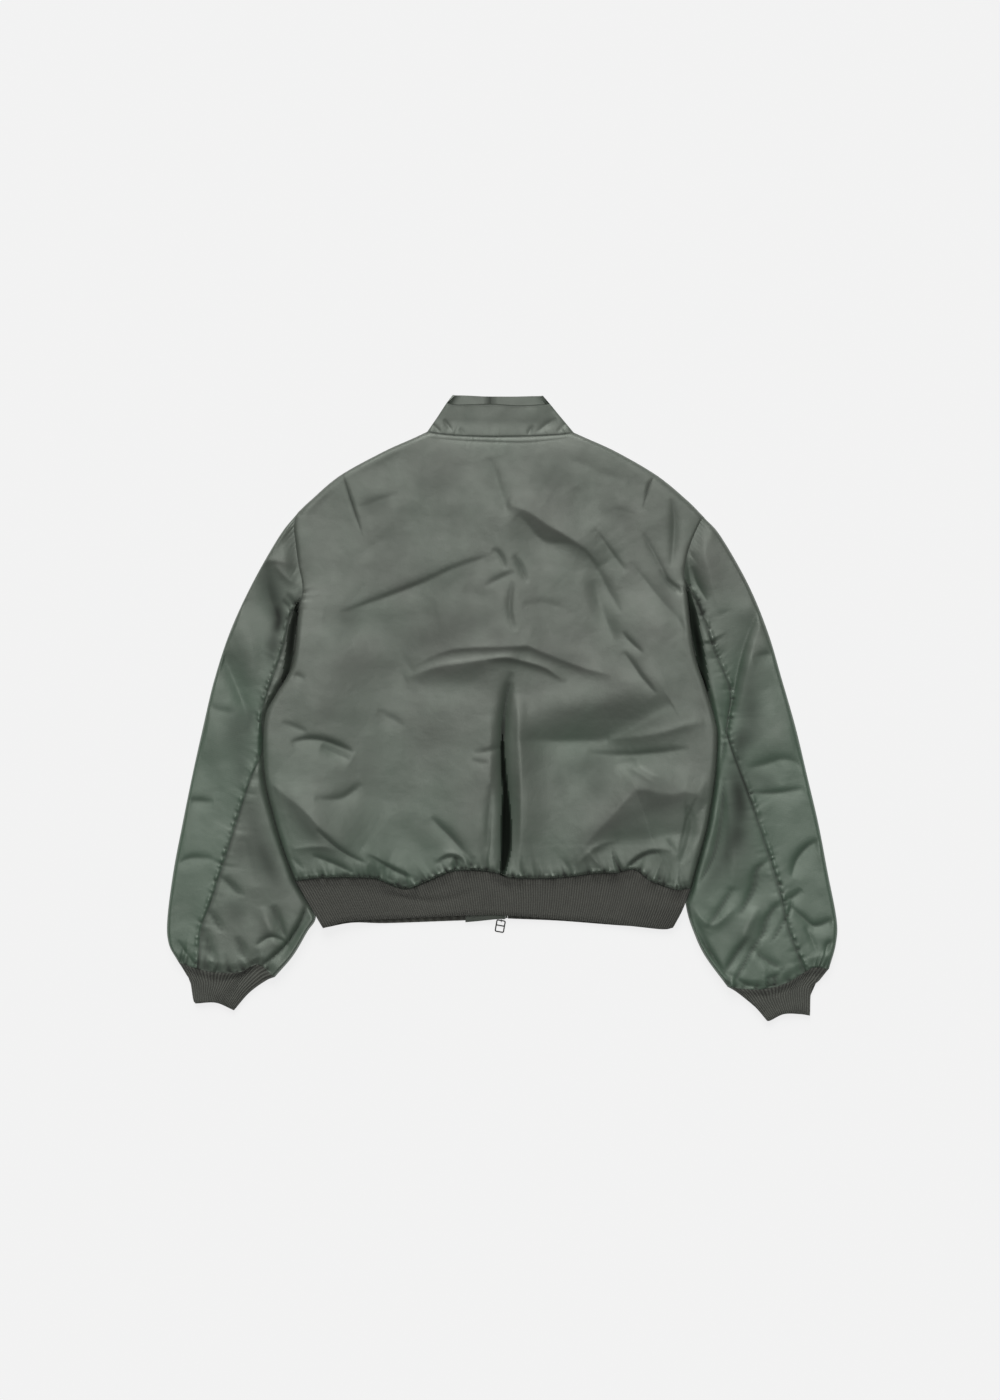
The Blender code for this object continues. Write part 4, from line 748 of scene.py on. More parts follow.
def buildBack(shape, material):
    # the panel's height: what lies under it, its wall, the padding between its seams, folds and puckers
    plan = backPlan(shape)
    folds = [curveThrough(side["shoulder"], 24) for side in sides.values()]
    folds += [curveThrough(side["side"], 40) for side in sides.values()]
    armholes = [nearLine(plan, curveThrough(side["armhole"], 20)) for side in sides.values()]
    toFold = np.min([awayFrom(plan, line) for line in folds], axis=0)
    toArmhole = np.minimum(np.abs(armholes[0][0]), np.abs(armholes[1][0]))
    toNeck, neckPlace = nearLine(plan, curveThrough(neckSeam, 16))
    toHem, hemPlace = nearLine(plan, curveThrough(waistSeam, 60))
    toNeck, toHem = np.abs(toNeck), np.abs(toHem)
    full = rollOff(toFold / shape["roll"]) * fullness(toArmhole, *shape["armholeFull"])
    full *= fullness(toNeck, *shape["neckFull"]) * fullness(toHem, *shape["hemFull"])
    fade = smooth(toFold / shape["foldFade"])
    for away, name in ((toArmhole, "armholeFade"), (toNeck, "neckFade"), (toHem, "hemFade")):
        start, reach = shape[name]
        fade *= smooth((away - start) / reach)
    height = shape["under"] + sleeveLift(plan) + flapRise(plan) + shape["padding"] * full
    height += shape["foldWall"]
    height += (shape["seamWall"] - shape["foldWall"]) * rollOff(toFold / shape["seamRoll"])
    fold = creases(plan, backCreases)
    height += fade * (fold + summed(shape["waves"], undulation, plan))
    height += summed(shape["hemPuckers"], pucker, toHem, hemPlace)
    strip = stripe(toHem - shape["strip"][0], shape["strip"][1])
    ruche = ruched(hemPlace, shape["stripSeed"])
    height += strip * (shape["stripHeight"] + shape["stripRuche"] * ruche)
    height += pucker(toNeck, neckPlace, *shape["neckPuckers"])
    smoothTop, reach = shape["smoothTop"]
    for number, (away, place) in enumerate(armholes):
        puckers = pucker(np.abs(away), place, *shape["armholePuckers"], shape["armholeSeed"] + number)
        height += puckers * smooth((place - smoothTop) / reach)
    skin = withHeight(plan, height)
    lower = smooth((shape["greenFrom"] - plan[..., 1]) / shape["greenOver"])
    lower *= 0.5 + 0.5 * smooth(-plan[..., 0] / shape["greenSide"])
    # the folds' ridges greyer and their troughs greener: painted sheen
    tint = np.clip(shape["green"] + shape["greenBelow"] * lower - shape["paintedFoldSheen"] * fold / mm, 0, 1)
    # painted shade: near black in deep pleats, broad patches where the satin turns from the light, the
    # hollows of the ruched strip and the gathers, lines along the seams, and the hollows of the surface
    deep = creases(plan, pleatShades) / mm
    shade = deep + creases(plan, satinShades) / mm + shape["stripShade"] * strip * gathered(ruche)
    shade += shape["gatherShade"] * gathered(summed(shape["gathers"], pucker, toHem, hemPlace))
    for away, name in ((toHem, "hemShade"), (toNeck, "neckShade"), (toArmhole, "armholeShade")):
        share, width = shape[name]
        shade += share * stripe(away, width)
    shade += shape["hollowShade"][0] * smooth(cavity(height) / shape["hollowShade"][1])
    fields = {"tint": tint, "shade": np.clip(shade, 0, shape["darkest"])}
    return shell("backPanel", skin, shape["wall"], material, fields=fields, deep=deep), skin


backPanel, backSkin = buildBack(backShape, nylon)
dress(backPanel, "back")
print("back:", len(backPanel.data.polygons), "faces")

# The sleeves
sleeveShape = {
    "rows": 300, "topColumns": 92, "topFloorColumns": 40, "underColumns": 44, "underFloorColumns": 20,
    # how even the columns are over the upper piece, the under piece and the underside; and where a share of
    # the way over the under piece and the underside starts along the armhole
    "even": (0.15, 0.3, 0.1), "underStarts": ((0, 0.35, 0.7, 0.92, 1), (0, 0.3, 0.6, 0.85, 1)),
    "floorStarts": ((0, 0.56, 0.68, 0.8, 0.9, 1), (0, 4, 5, 6, 7, 8)),
    "wall": 1.3 * mm, "nose": 4.4 * mm, "height": 15.4 * mm,
    "least": 4.0 * mm, "roll": 7.5 * mm, "innerRoll": 6.0 * mm,
    "forearmShare": 0.68, "foldsFade": 12 * mm, "floorRoll": 8 * mm, "cuffFull": (0.030, 0.80),
    # under the body: the top's height, its rise with the distance from the body, and their rounding
    "underBody": 9.6 * mm, "leastUnder": 5.6 * mm, "gap": 1.1 * mm,
    "emerge": 1.15, "blend": 2 * mm, "pleat": 1.5 * mm, "pinned": 26 * mm,
    # length, height and offset from the sleeve's first seed; height, pitch, reach and offset for puckers
    "waves": ((90 * mm, 0.45 * mm, 0), (40 * mm, 0.12 * mm, 1)),
    "elbowPuckers": (0.6 * mm, 10 * mm, 8 * mm, 2), "elbowGroove": (0.9 * mm, 2.2 * mm),
    "cuffPuckers": ((2.0 * mm, 11 * mm, 14 * mm, 3), (0.8 * mm, 4.5 * mm, 6 * mm, 4)),
    "strip": (3.6 * mm, 2.4 * mm), "stripHeight": 0.5 * mm, "stripRuche": 0.65 * mm, "stripSeed": 7,
    "elbowShade": (0.45, 1.3 * mm), "cuffShade": (0.4, 1.6 * mm), "hollowShade": (0.45, 0.9 * mm),
    "stripShade": 0.25, "gather": (1.0, 7.5 * mm, 9.0 * mm, 5), "gatherShade": 0.6, "darkest": 0.97,
    # green of each piece at the top, its rise down the sleeve, the green of the underside, and less green for
    # each mm of a fold: a painted sheen, greyer on ridges, greener in troughs
    "green": {"sleeveUnder.left": 0.5}, "greenTop": 0.30,
    "greenFrom": 220 * mm, "greenOver": 300 * mm, "floorGreen": 0.6, "paintedFoldSheen": 0.05,
    "seeds": {"left": 30, "right": 50},
}
leftSleeveCreases = (
    (1.6, 5, 6, 1.4, ((-276, 246), (-290, 224), (-304, 202))),
    (3.6, 18, 12, 1.2, ((-318, 194), (-300, 194), (-286, 191), (-272, 184))),
    (2.0, 8, 7, 1.4, ((-300, 188), (-284, 172), (-266, 160))),
    (-4.6, 11, 16, 1.4, ((-310, 192), (-309, 162), (-303, 140), (-292, 112), (-288, 90))),
    (-2.4, 4, 5, 1.2, ((-290, 142), (-278, 132), (-268, 124))),
    (-2.2, 4, 4, 1.2, ((-284, 150), (-276, 136), (-274, 116))),
    (-4.2, 16, 10, 1.4, ((-372, 78), (-354, 38), (-340, 2), (-324, -36))),
    (2.0, 14, 18, 2.0, ((-352, 140), (-336, 90), (-326, 30))),
    (1.6, 16, 16, 2.0, ((-384, 20), (-374, -46), (-370, -110))),
    (-1.8, 4, 12, 1.3, ((-418, -122), (-400, -123), (-380, -124))),
    (-1.6, 4, 10, 1.3, ((-430, -206), (-408, -198), (-382, -199))),
    (-2.6, 4, 8, 1.2, ((-370, -222), (-356, -235), (-342, -249))),
    (-3.0, 4, 7, 1.2, ((-393, -290), (-388, -312), (-380, -334))),
    (-2.2, 4, 6, 1.3, ((-386, -266), (-376, -282), (-368, -296))),
    (-3.4, 4, 6, 1.2, ((-302, -260), (-294, -282), (-283, -308))),
    (2.4, 8, 9, 1.5, ((-318, -262), (-306, -290), (-298, -316))),
    (-3.4, 4, 6, 1.2, ((-324, -314), (-308, -303), (-294, -305), (-280, -315))),
    (-6.0, 16, 3, 1.15, ((-254, -252), (-266, -284), (-284, -312), (-306, -332), (-324, -344))),
    (-2.0, 4, 4, 1.2, ((-320, -340), (-314, -350), (-306, -362))),
    (-1.8, 4, 5, 1.3, ((-428, -307), (-417, -323), (-403, -341))),
    (-2.0, 6, 6, 1.4, ((-350, -302), (-344, -316), (-341, -332))),
    (-1.6, 10, 14, 1.6, ((-340, -170), (-330, -200), (-322, -236))),
    (-1.3, 5, 10, 1.4, ((-388, 4), (-370, -4), (-350, -6))),
)
rightSleeveCreases = (
    (2.4, 24, 12, 1.4, ((262, 250), (266, 215), (271, 186), (280, 150), (290, 124))),
    (-5.0, 8, 8, 1.3, ((245, 206), (247, 172), (254, 144), (263, 118))),
    (-3.4, 6, 6, 1.3, ((250, 186), (256, 166), (270, 140))),
    (-5.8, 5, 18, 1.15, ((340, 134), (324, 96), (314, 61), (307, 27), (299, -18), (291, -58), (283, -98))),
    (2.4, 22, 7, 1.5, ((344, 118), (330, 76), (320, 30), (312, -8))),
    (-1.6, 5, 14, 1.4, ((330, 66), (352, 70), (374, 70))),
    (-3.4, 5, 6, 1.2, ((293, -92), (288, -150), (278, -198), (256, -238))),
    (3.6, 26, 7, 1.6, ((296, -96), (302, -150), (305, -200), (300, -240))),
    (1.6, 18, 18, 2.0, ((351, 23), (367, -43), (378, -96))),
    (-3.0, 5, 14, 1.2, ((322, -111), (350, -113), (372, -111), (400, -106))),
    (-2.2, 2, 4, 1.2, ((350, -288), (347, -294), (327, -325), (314, -349), (301, -369))),
    (-2.0, 2, 4, 1.2, ((383, -249), (379, -270), (354, -312))),
    (-1.8, 2, 3, 1.2, ((391, -326), (393, -336), (396, -357))),
    (-1.8, 2, 3, 1.2, ((364, -368), (369, -377), (377, -383))),
    (-1.8, 2, 3, 1.2, ((322, -378), (330, -384), (341, -389))),
    (-2.4, 7, 12, 1.4, ((322, -80), (350, -74), (374, -68), (400, -80))),
    (-4.2, 14, 6, 1.15, ((424, -173), (405, -182), (389, -200), (381, -224))),
    (-4.0, 12, 5, 1.2, ((352, -202), (336, -214), (331, -240), (313, -274))),
    (-3.4, 10, 5, 1.2, ((367, -255), (350, -278), (341, -306))),
    (-4.0, 9, 5, 1.15, ((324, -302), (306, -330), (292, -352))),
    (2.8, 8, 8, 1.6, ((338, -262), (322, -290), (312, -318))),
    (-3.4, 5, 9, 1.2, ((378, -260), (397, -277), (413, -288), (442, -277))),
    (-2.6, 4, 5, 1.2, ((425, -326), (430, -312), (442, -309))),
    (2.4, 7, 7, 1.5, ((250, -262), (276, -286), (308, -262))),
    (-2.4, 6, 5, 1.3, ((306, -236), (290, -262), (270, -294))),
    (-2.6, 6, 5, 1.25, ((328, -316), (346, -332), (372, -346))),
    (-2.2, 5, 5, 1.3, ((297, -349), (323, -366), (351, -370))),
    (-1.8, 4, 4, 1.3, ((371, -344), (362, -354), (347, -357))),
    (-2.2, 5, 6, 1.3, ((396, -240), (384, -250), (372, -252))),
    (-4.0, 4, 3, 1.2, ((249, -272), (264, -306), (283, -336), (302, -360))),
    (-1.8, 14, 14, 2.0, ((304, -126), (308, -160), (306, -190))),
    (-1.6, 5, 5, 1.4, ((399, -287), (409, -307), (417, -327))),
)


def sleevePlans(side, shape):
    # plans of the upper piece, the under piece and the underside, with their columns closest at the folds
    rows = shape["rows"]
    armhole, cuff = curveThrough(side["armhole"], 80), curveThrough(side["cuffSeam"], 120)
    elbow = curveThrough(side["elbowSeam"], rows)
    seamShare = np.linalg.norm(cuff - elbow[-1], axis=1).argmin() / 120
    elbow[0], elbow[-1] = armhole[70], cuff[round(120 * seamShare)]
    outer, inner = curveThrough(side["outerFold"], rows), curveThrough(side["innerFold"], rows)

    def piece(shares, places, cuffFrom, cuffTo, start, end):
        # places says where each column starts along the armhole, in eighths of it
        places = np.asarray(places) * 10
        first = np.stack([np.interp(places, np.arange(81), axis) for axis in armhole.T], axis=1)
        last = atShares(cuff, cuffFrom + (cuffTo - cuffFrom) * shares)
        return patch(first, last, start, end, shares, evenly(rows))

    def closing(columns, even):
        # shares that lie closest at 0, with this part of them even
        return even * evenly(columns) + (1 - even) * evenly(columns) ** 2

    evenTop, evenUnder, evenFloor = shape["even"]
    shares = closing(shape["topColumns"], evenTop)
    upper = piece(shares, 7 * shares, 0, seamShare, outer, elbow)
    shares = 1 - closing(shape["underColumns"], evenUnder)[::-1]
    places = 7 + np.interp(shares, *shape["underStarts"])
    under = piece(shares, places, seamShare, 1, elbow, inner)
    fromOuter = closing(shape["topFloorColumns"], evenFloor) * shape["forearmShare"]
    fromInner = 1 - closing(shape["underFloorColumns"], evenFloor) * (1 - shape["forearmShare"])
    shares = np.concatenate([fromOuter, fromInner[::-1][1:]])
    places = np.interp(shares, *shape["floorStarts"])
    return upper, under, piece(shares, places, 0, 1, outer, inner)


def buildSleeve(key, shape, table, armholeLine, material):
    # both pieces of a sleeve: a flattened tube, split at the elbow seam and at the forearm seam below
    side, seed = sides[key], shape["seeds"][key]
    upper, under, floorPlan = sleevePlans(side, shape)
    outerLine, innerLine = floorPlan[:, :1], floorPlan[:, -1:]
    down = evenly(shape["rows"])[:, None]
    edge = np.vstack([curveThrough(side["side"], 60), curveThrough(side["bandSide"], 10)[1:]])[::-1]
    elbowLine, cuffLine = upper[::6, -1], np.vstack([upper[-1], under[-1, 1:]])[::4]

    def seeded(rows):
        # the same rows with seeds of this sleeve's own
        return [(*row[:-1], seed + row[-1]) for row in rows]

    def underBody(plan, height):
        # the height kept below what lies on the sleeve, which it leaves on a slope with a round change
        x, y = plan[..., 0], plan[..., 1]
        outside = side["sign"] * (x - np.interp(y, edge[:, 1], edge[:, 0]))
        clear = np.where((outside > 0) | (y > edge[-1, 1]) | (y < edge[0, 1]), awayFrom(plan, edge), 0)
        cap = np.clip(sleeveLift(plan) - shape["gap"], shape["leastUnder"], shape["underBody"])
        cap = cap + shape["emerge"] * clear
        return (height + cap - np.sqrt((height - cap) ** 2 + shape["blend"] ** 2)) / 2

    def topHeight(plan):
        # rounded rise from both folds, then folds, waves and puckers that die out towards them, held down
        # under the body and pinned to the body's height at the armhole
        fromOuter = np.linalg.norm(plan - outerLine, axis=-1)
        fromInner = np.linalg.norm(plan - innerLine, axis=-1)
        toElbow, elbowPlace = nearLine(plan, elbowLine)
        toCuff, cuffPlace = nearLine(plan, cuffLine)
        reach, least = shape["cuffFull"]
        full = rollOff(fromOuter / shape["roll"]) * rollOff(fromInner / shape["innerRoll"])
        full *= least + (1 - least) * smooth((1 - down) / reach)
        strip = stripe(side["sign"] * toElbow - shape["strip"][0], shape["strip"][1])
        ruche = ruched(elbowPlace, seed + shape["stripSeed"])
        fold = creases(plan, table)
        grooveDepth, grooveWidth = shape["elbowGroove"]
        detail = fold + summed(seeded(shape["waves"]), undulation, plan)
        detail += summed(seeded([shape["elbowPuckers"]]), pucker, np.abs(toElbow), elbowPlace)
        detail -= grooveDepth * stripe(toElbow, grooveWidth)
        detail += strip * (shape["stripHeight"] + shape["stripRuche"] * ruche)
        detail += summed(seeded(shape["cuffPuckers"]), pucker, np.abs(toCuff), cuffPlace)
        near = smooth(np.minimum(fromOuter, fromInner) / shape["foldsFade"])
        height = shape["nose"] + (shape["height"] - shape["nose"]) * full + near * detail
        deep = creases(plan, pleatShades) / mm
        height = np.maximum(underBody(plan, height) - shape["pleat"] * deep, shape["least"])
        # painted shade: near black in deep pleats, broad patches, hollows, lines along the elbow and cuff
        # seams, and the hollows of the ruched strip and the cuff's gathers
        shade = deep + creases(plan, satinShades) / mm
        shade += shape["hollowShade"][0] * smooth(cavity(height) / shape["hollowShade"][1])
        for away, (share, width) in ((toElbow, shape["elbowShade"]), (toCuff, shape["cuffShade"])):
            shade += share * stripe(away, width)
        gather = summed(seeded([shape["gather"]]), pucker, np.abs(toCuff), cuffPlace)
        shade += shape["stripShade"] * strip * gathered(ruche) + shape["gatherShade"] * gathered(gather)
        pinned = heightOn(plan[0], armholeLine) - height[0]
        height += pinned[None] * (1 - smooth(travelled(plan, 0) / shape["pinned"]))
        return height, fold, np.clip(shade, 0, shape["darkest"]), deep

    def half(name, topPlan, floorPart, foldLine):
        # from the elbow seam over the top to the fold, round it and back below to the forearm seam
        height, fold, shade, deep = topHeight(topPlan)
        fromFold = np.linalg.norm(floorPart - foldLine, axis=-1) / shape["floorRoll"]
        below = shape["nose"] * (1 - rollOff(fromFold, 2.0))
        below = below + (height[:, :1] - shape["nose"]) * (1 - smooth(fromFold))
        lower = smooth((shape["greenFrom"] - topPlan[..., 1]) / shape["greenOver"])
        green = shape["green"].get(name, 1.0) * (shape["greenTop"] + (1 - shape["greenTop"]) * lower)
        # the folds' ridges greyer and their troughs greener: painted sheen
        tint = np.clip(green - shape["paintedFoldSheen"] * fold / mm, 0, 1)

        def joinedHalves(top, low):
            # the grid's top from its last column back to the fold, then the underside, without the fold again
            low = np.full(floorPart.shape[:2], low) if np.isscalar(low) else low
            return np.concatenate([top[:, ::-1], low[:, 1:]], axis=1)

        skin = joinedHalves(withHeight(topPlan, height), withHeight(floorPart, below))
        fields = {"tint": joinedHalves(tint, shape["floorGreen"]), "shade": joinedHalves(shade, 0.0)}
        return shell(name, skin, shape["wall"], material, fields=fields, deep=joinedHalves(deep, 0.0)), skin

    split = shape["topFloorColumns"]
    top, topSkin = half("sleeveTop." + key, upper, floorPlan[:, : split + 1], outerLine)
    low, lowSkin = half("sleeveUnder." + key, under[:, ::-1], floorPlan[:, split:][:, ::-1], innerLine)
    topEnd, lowEnd = topSkin[-1, : shape["topColumns"] + 1], lowSkin[-1, : shape["underColumns"] + 1]
    seamTop = np.vstack([topEnd[::-1], lowEnd[1:]])
    return top, low, lowSkin, (seamTop, floorPlan[-1])


underSkins, cuffSeams = {}, {}
armholeRows = round(backShape["armholeEnd"] * backShape["rows"]) + 1
for key, table, column in (("left", leftSleeveCreases, 0), ("right", rightSleeveCreases, -1)):
    armholeLine = backSkin[:armholeRows, column]
    top, low, underSkins[key], cuffSeams[key] = buildSleeve(key, sleeveShape, table, armholeLine, nylon)
    for piece, nodeName in ((top, "sleeve_top_" + key), (low, "sleeve_under_" + key)):
        dress(piece, nodeName)
    print("sleeve", key, len(top.data.polygons) + len(low.data.polygons), "faces")

# The fronts
frontShape = {
    "rows": 150, "columns": 104, "wall": 1.3 * mm, "low": 0.3 * mm,
    "edge": 4.4 * mm, "roll": 6 * mm, "foldsFade": 15 * mm,
    "zipOpening": 6.5 * mm, "waves": (100 * mm, 0.5 * mm, 70),
    "waistPuckers": (0.7 * mm, 10 * mm, 12 * mm, 71), "green": 0.4, "paintedHollowSheen": 0.1,
}
frontCreases = (
    (2.0, 12, 12, 1.6, ((-240, 80), (-190, 40), (-120, 30))),
    (1.6, 10, 14, 1.6, ((-210, 220), (-160, 190), (-110, 200))),
    (1.8, 10, 10, 1.5, ((-230, -120), (-180, -150), (-130, -190))),
    (1.6, 9, 12, 1.6, ((-90, 120), (-60, 60), (-64, 0))),
    (2.0, 12, 12, 1.6, ((60, 90), (120, 60), (190, 70))),
    (1.6, 10, 14, 1.6, ((80, 250), (140, 220), (190, 180))),
    (1.8, 10, 10, 1.5, ((90, -180), (150, -140), (200, -150))),
    (1.6, 9, 12, 1.6, ((60, -20), (90, -60), (80, -120))),
)


def toCentre(line, side, gap):
    # the line with its last point moved to the front edge
    line[-1, 0] = centreX(line[-1, 1]) + side["sign"] * gap
    return line


def buildFront(key, shape, material):
    # the front lies on the surface; its outline turns up to meet the back; its folds are hollows from below
    side, down, across = sides[key], evenly(shape["rows"]), evenly(shape["columns"])
    neck = toCentre(curveThrough(side["frontNeck"], 40), side, shape["zipOpening"])
    waist = toCentre(curveThrough(side["frontWaist"], 80), side, shape["zipOpening"])
    top = atShares(np.vstack([curveThrough(side["shoulder"], 80)[::-1], neck[1:]]), across)
    outside = downBody(side, shape["rows"], backShape["armholeEnd"])
    middle = atShares(np.array([neck[-1], waist[-1]]), down)
    plan = patch(top, atShares(waist, across), outside, middle, across, down)
    folds = (("shoulder", 24), ("side", 40))
    toFold = np.min([awayFrom(plan, curveThrough(side[name], count)) for name, count in folds], axis=0)
    away, place = nearLine(plan, curveThrough(side["frontWaist"], 24))
    hollow = np.maximum(creases(plan, frontCreases) + undulation(plan, *shape["waves"]), 0)
    hollow += np.maximum(pucker(np.abs(away), place, *shape["waistPuckers"]), 0)
    height = sleeveLift(plan) + shape["low"] + hollow * smooth(toFold / shape["foldsFade"])
    height += shape["edge"] * (1 - rollOff(toFold / shape["roll"], 2.0))
    # greener in the hollows: painted sheen
    tint = np.clip(shape["green"] + shape["paintedHollowSheen"] * hollow / mm, 0, 1)
    skin = withHeight(plan, height)
    return shell("front." + key, skin, shape["wall"], material, up=False, fields={"tint": tint})


for key in sides:
    piece = buildFront(key, frontShape, nylon)
    dress(piece, "front_" + key)
print("fronts done")

# Rib knit of the waistband and the cuffs
knitLook = {
    "dark": (0.047, 0.047, 0.041), "light": (0.138, 0.141, 0.123),
    # the rows of loops: their pitch, distortion and its scale; noise and bumps as for the nylon
    "loops": (1.1 * mm, 1.5, 3.0), "loopBump": (0.6, 0.00025), "yarn": (420.0, 3.0, 0.6),
    "yarnBump": (0.5, 0.00015), "mottle": 0.6, "grooveShadeShare": 0.65, "darker": -0.10,
    "roughness": 0.88, "gloss": 0.2, "fuzz": 0.12, "fuzzRoughness": 0.6,
}
cuffLook = {**knitLook, "light": (0.155, 0.163, 0.141)}


def knitMaterial(look, name):
    # matt rib knit: rows of small loops across the ribs, mottled yarn, lighter on the ribs and darker in the
    # grooves as painted shade, and a little fuzz
    material, nodes, surface = newMaterial(name)
    cloth = node(nodes, "ShaderNodeUVMap", uv_map="cloth").outputs["UV"]
    place = node(nodes, "ShaderNodeTexCoord").outputs["Object"]
    pitch, distortion, detail = look["loops"]
    loops = node(
        nodes, "ShaderNodeTexWave", wave_type="BANDS", bands_direction="Y",
        Vector=cloth, Scale=0.157 / pitch, Distortion=distortion, **{"Detail Scale": detail},
    )
    yarn = noise(nodes, place, *look["yarn"])
    mottle = scaled(nodes, yarn, look["mottle"], look["darker"])
    # darker in the grooves between the ribs: painted shade
    light = scaled(nodes, attribute(nodes, "rib"), look["grooveShadeShare"], mottle, True)
    feed(surface, {
        "Base Color": mixed(nodes, light, look["dark"], look["light"]),
        "Normal": bumps(nodes, (loops.outputs["Fac"], *look["loopBump"]), (yarn, *look["yarnBump"])),
        "Roughness": look["roughness"], "Specular IOR Level": look["gloss"],
        "Sheen Weight": look["fuzz"], "Sheen Roughness": look["fuzzRoughness"],
    })
    return material


knit = knitMaterial(knitLook, "rib knit")
cuffKnit = knitMaterial(cuffLook, "rib knit of the cuffs")

# The waistband
waistbandShape = {
    "ribs": 159, "perRib": 6, "frontRibs": 66, "perFrontRib": 4,
    "rows": 16, "ribHeight": 0.9 * mm, "wall": 1.7 * mm,
    # how the ribs wander, as waves: size, how often, slant and shift
    "wander": ((0.5, 37, 3, 0), (0.4, 91, 0, 1.3)), "ribsFade": 4 * mm, "foldsFade": 10 * mm,
    "foldWall": 0.6 * mm, "thick": 3.4 * mm, "under": 4.7 * mm,
    "roll": 10 * mm, "belowSeam": 0.3 * mm, "pinned": 14 * mm,
    "hemDrop": 2.4 * mm, "hemRoll": 3.2 * mm, "nose": 4.2 * mm,
    "frontRoll": 6 * mm, "frontRibHeight": 0.5 * mm,
}
waistbandCreases = (
    (-2.2, 3, 9, 1.3, ((-180, -242), (-140, -249), (-108, -254), (-69, -252), (-24, -236))),
    (-2.2, 6, 8, 1.5, ((2, -212), (4, -232), (14, -256))),
    (1.0, 10, 10, 1.8, ((-24, -222), (-22, -240), (-20, -262))),
    (-1.0, 7, 7, 1.6, ((150, -222), (156, -246), (150, -272))),
    (-1.0, 7, 7, 1.6, ((-150, -238), (-146, -258), (-152, -276))),
    (-1.0, 6, 6, 1.6, ((216, -246), (206, -262), (204, -284))),
)


def ribsOf(share, count, wander=0.0):
    # 0 in the grooves and 1 on the ribs of a knit, with so many of them over the share
    return 0.5 - 0.5 * np.cos(2 * np.pi * share * count + wander)


def toEnds(grid, share):
    # distance of each column of a grid from the nearer of its two ends, measured straight across
    return np.minimum(share, 1 - share)[None] * np.linalg.norm(grid[:, -1] - grid[:, 0], axis=-1)[:, None]


def frontStrip(side, topName, bottomName, count, rows, gap, fold=None):
    # a strip's front stretch, from its side fold, straight unless drawn, to the front edge
    top, bottom = [toCentre(curveThrough(side[name], count), side, gap) for name in (topName, bottomName)]
    down = evenly(rows)
    start = atShares(np.array([top[0], bottom[0]]) if fold is None else fold, down)
    return patch(top, bottom, start, atShares(np.array([top[-1], bottom[-1]]), down), evenly(count), down)


def buildWaistband(shape, seam, material):
    # one strip from the front edge round the left fold, over the back and round the right fold; its ribs
    # are waves across it, and its lower edge rolls under
    rows, gap = shape["rows"], frontShape["zipOpening"]
    backCount, frontCount = shape["ribs"] * shape["perRib"], shape["frontRibs"] * shape["perFrontRib"]
    left, right = [
        frontStrip(side, "frontWaist", "frontHem", frontCount, rows, gap, curveThrough(side["bandSide"], 20))
        for side in sides.values()
    ]
    share, down = evenly(backCount), evenly(rows)
    seamLine, hemLine = atShares(seam[:, :2], share), curveThrough(hemBack, backCount)
    back = patch(seamLine, hemLine, left[:, 0], right[:, 0], share, down)
    edge = toEnds(back, share)
    wander = sum(size * np.sin(share * often + slant * down[:, None] + shift)
                 for size, often, slant, shift in shape["wander"])
    rib = ribsOf(share[None], shape["ribs"], wander)
    height = sleeveLift(back) + flapRise(back) + shape["under"]
    height += shape["foldWall"] + (shape["thick"] - shape["foldWall"]) * rollOff(edge / shape["roll"])
    height += shape["ribHeight"] * (rib - 0.5) * smooth(edge / shape["ribsFade"])
    height += creases(back, waistbandCreases) * smooth(edge / shape["foldsFade"])
    fromTop = travelled(back, 0)
    pinned = heightOn(back[0], seam) - shape["belowSeam"] - height[0]
    height += pinned[None] * (1 - smooth(fromTop / shape["pinned"]))
    height -= shape["hemDrop"] * (1 - rollOff((fromTop[-1:] - fromTop) / shape["hemRoll"], 2.2))
    frontRib = ribsOf(evenly(frontCount)[None], shape["frontRibs"]) * np.ones((rows + 1, 1))
    fronts = []
    for plan in (left, right):
        fromFold = np.linalg.norm(plan - plan[:, :1], axis=-1)
        below = sleeveLift(plan) + shape["nose"] * (1 - rollOff(fromFold / shape["frontRoll"], 2.0))
        fronts.append(withHeight(plan, below + shape["frontRibHeight"] * (1 - frontRib)))
    skin = np.concatenate([fronts[0][:, :0:-1], withHeight(back, height), fronts[1][:, 1:]], axis=1)
    fields = {"rib": np.concatenate([frontRib[:, :0:-1], rib, frontRib[:, 1:]], axis=1)}
    return shell("ribWaistband", skin, shape["wall"], material, every=6, up=False, fields=fields)


waistband = buildWaistband(waistbandShape, backSkin[-1], knit)
dress(waistband, "waistband")
print("waistband:", len(waistband.data.polygons), "faces")

# The cuffs
cuffShape = {
    "ribs": 27, "perRib": 8, "rows": 18, "ribHeight": 0.9 * mm, "wander": (0.8, 5, 2),
    "ribsFade": 4 * mm, "wavesFade": 8 * mm, "floorRibsFade": 3 * mm,
    "wall": 1.4 * mm, "nose": 4.0 * mm, "rise": 4.4 * mm,
    "roll": 14 * mm, "waves": (30 * mm, 0.5 * mm), "seeds": {"left": 80, "right": 81}, "belowSeam": 0.2 * mm,
    "pinned": 12 * mm, "mouthDrop": 1.8 * mm, "mouthRoll": 2.6 * mm,
    "floorRoll": 5 * mm, "floorRibHeight": 0.5 * mm,
}


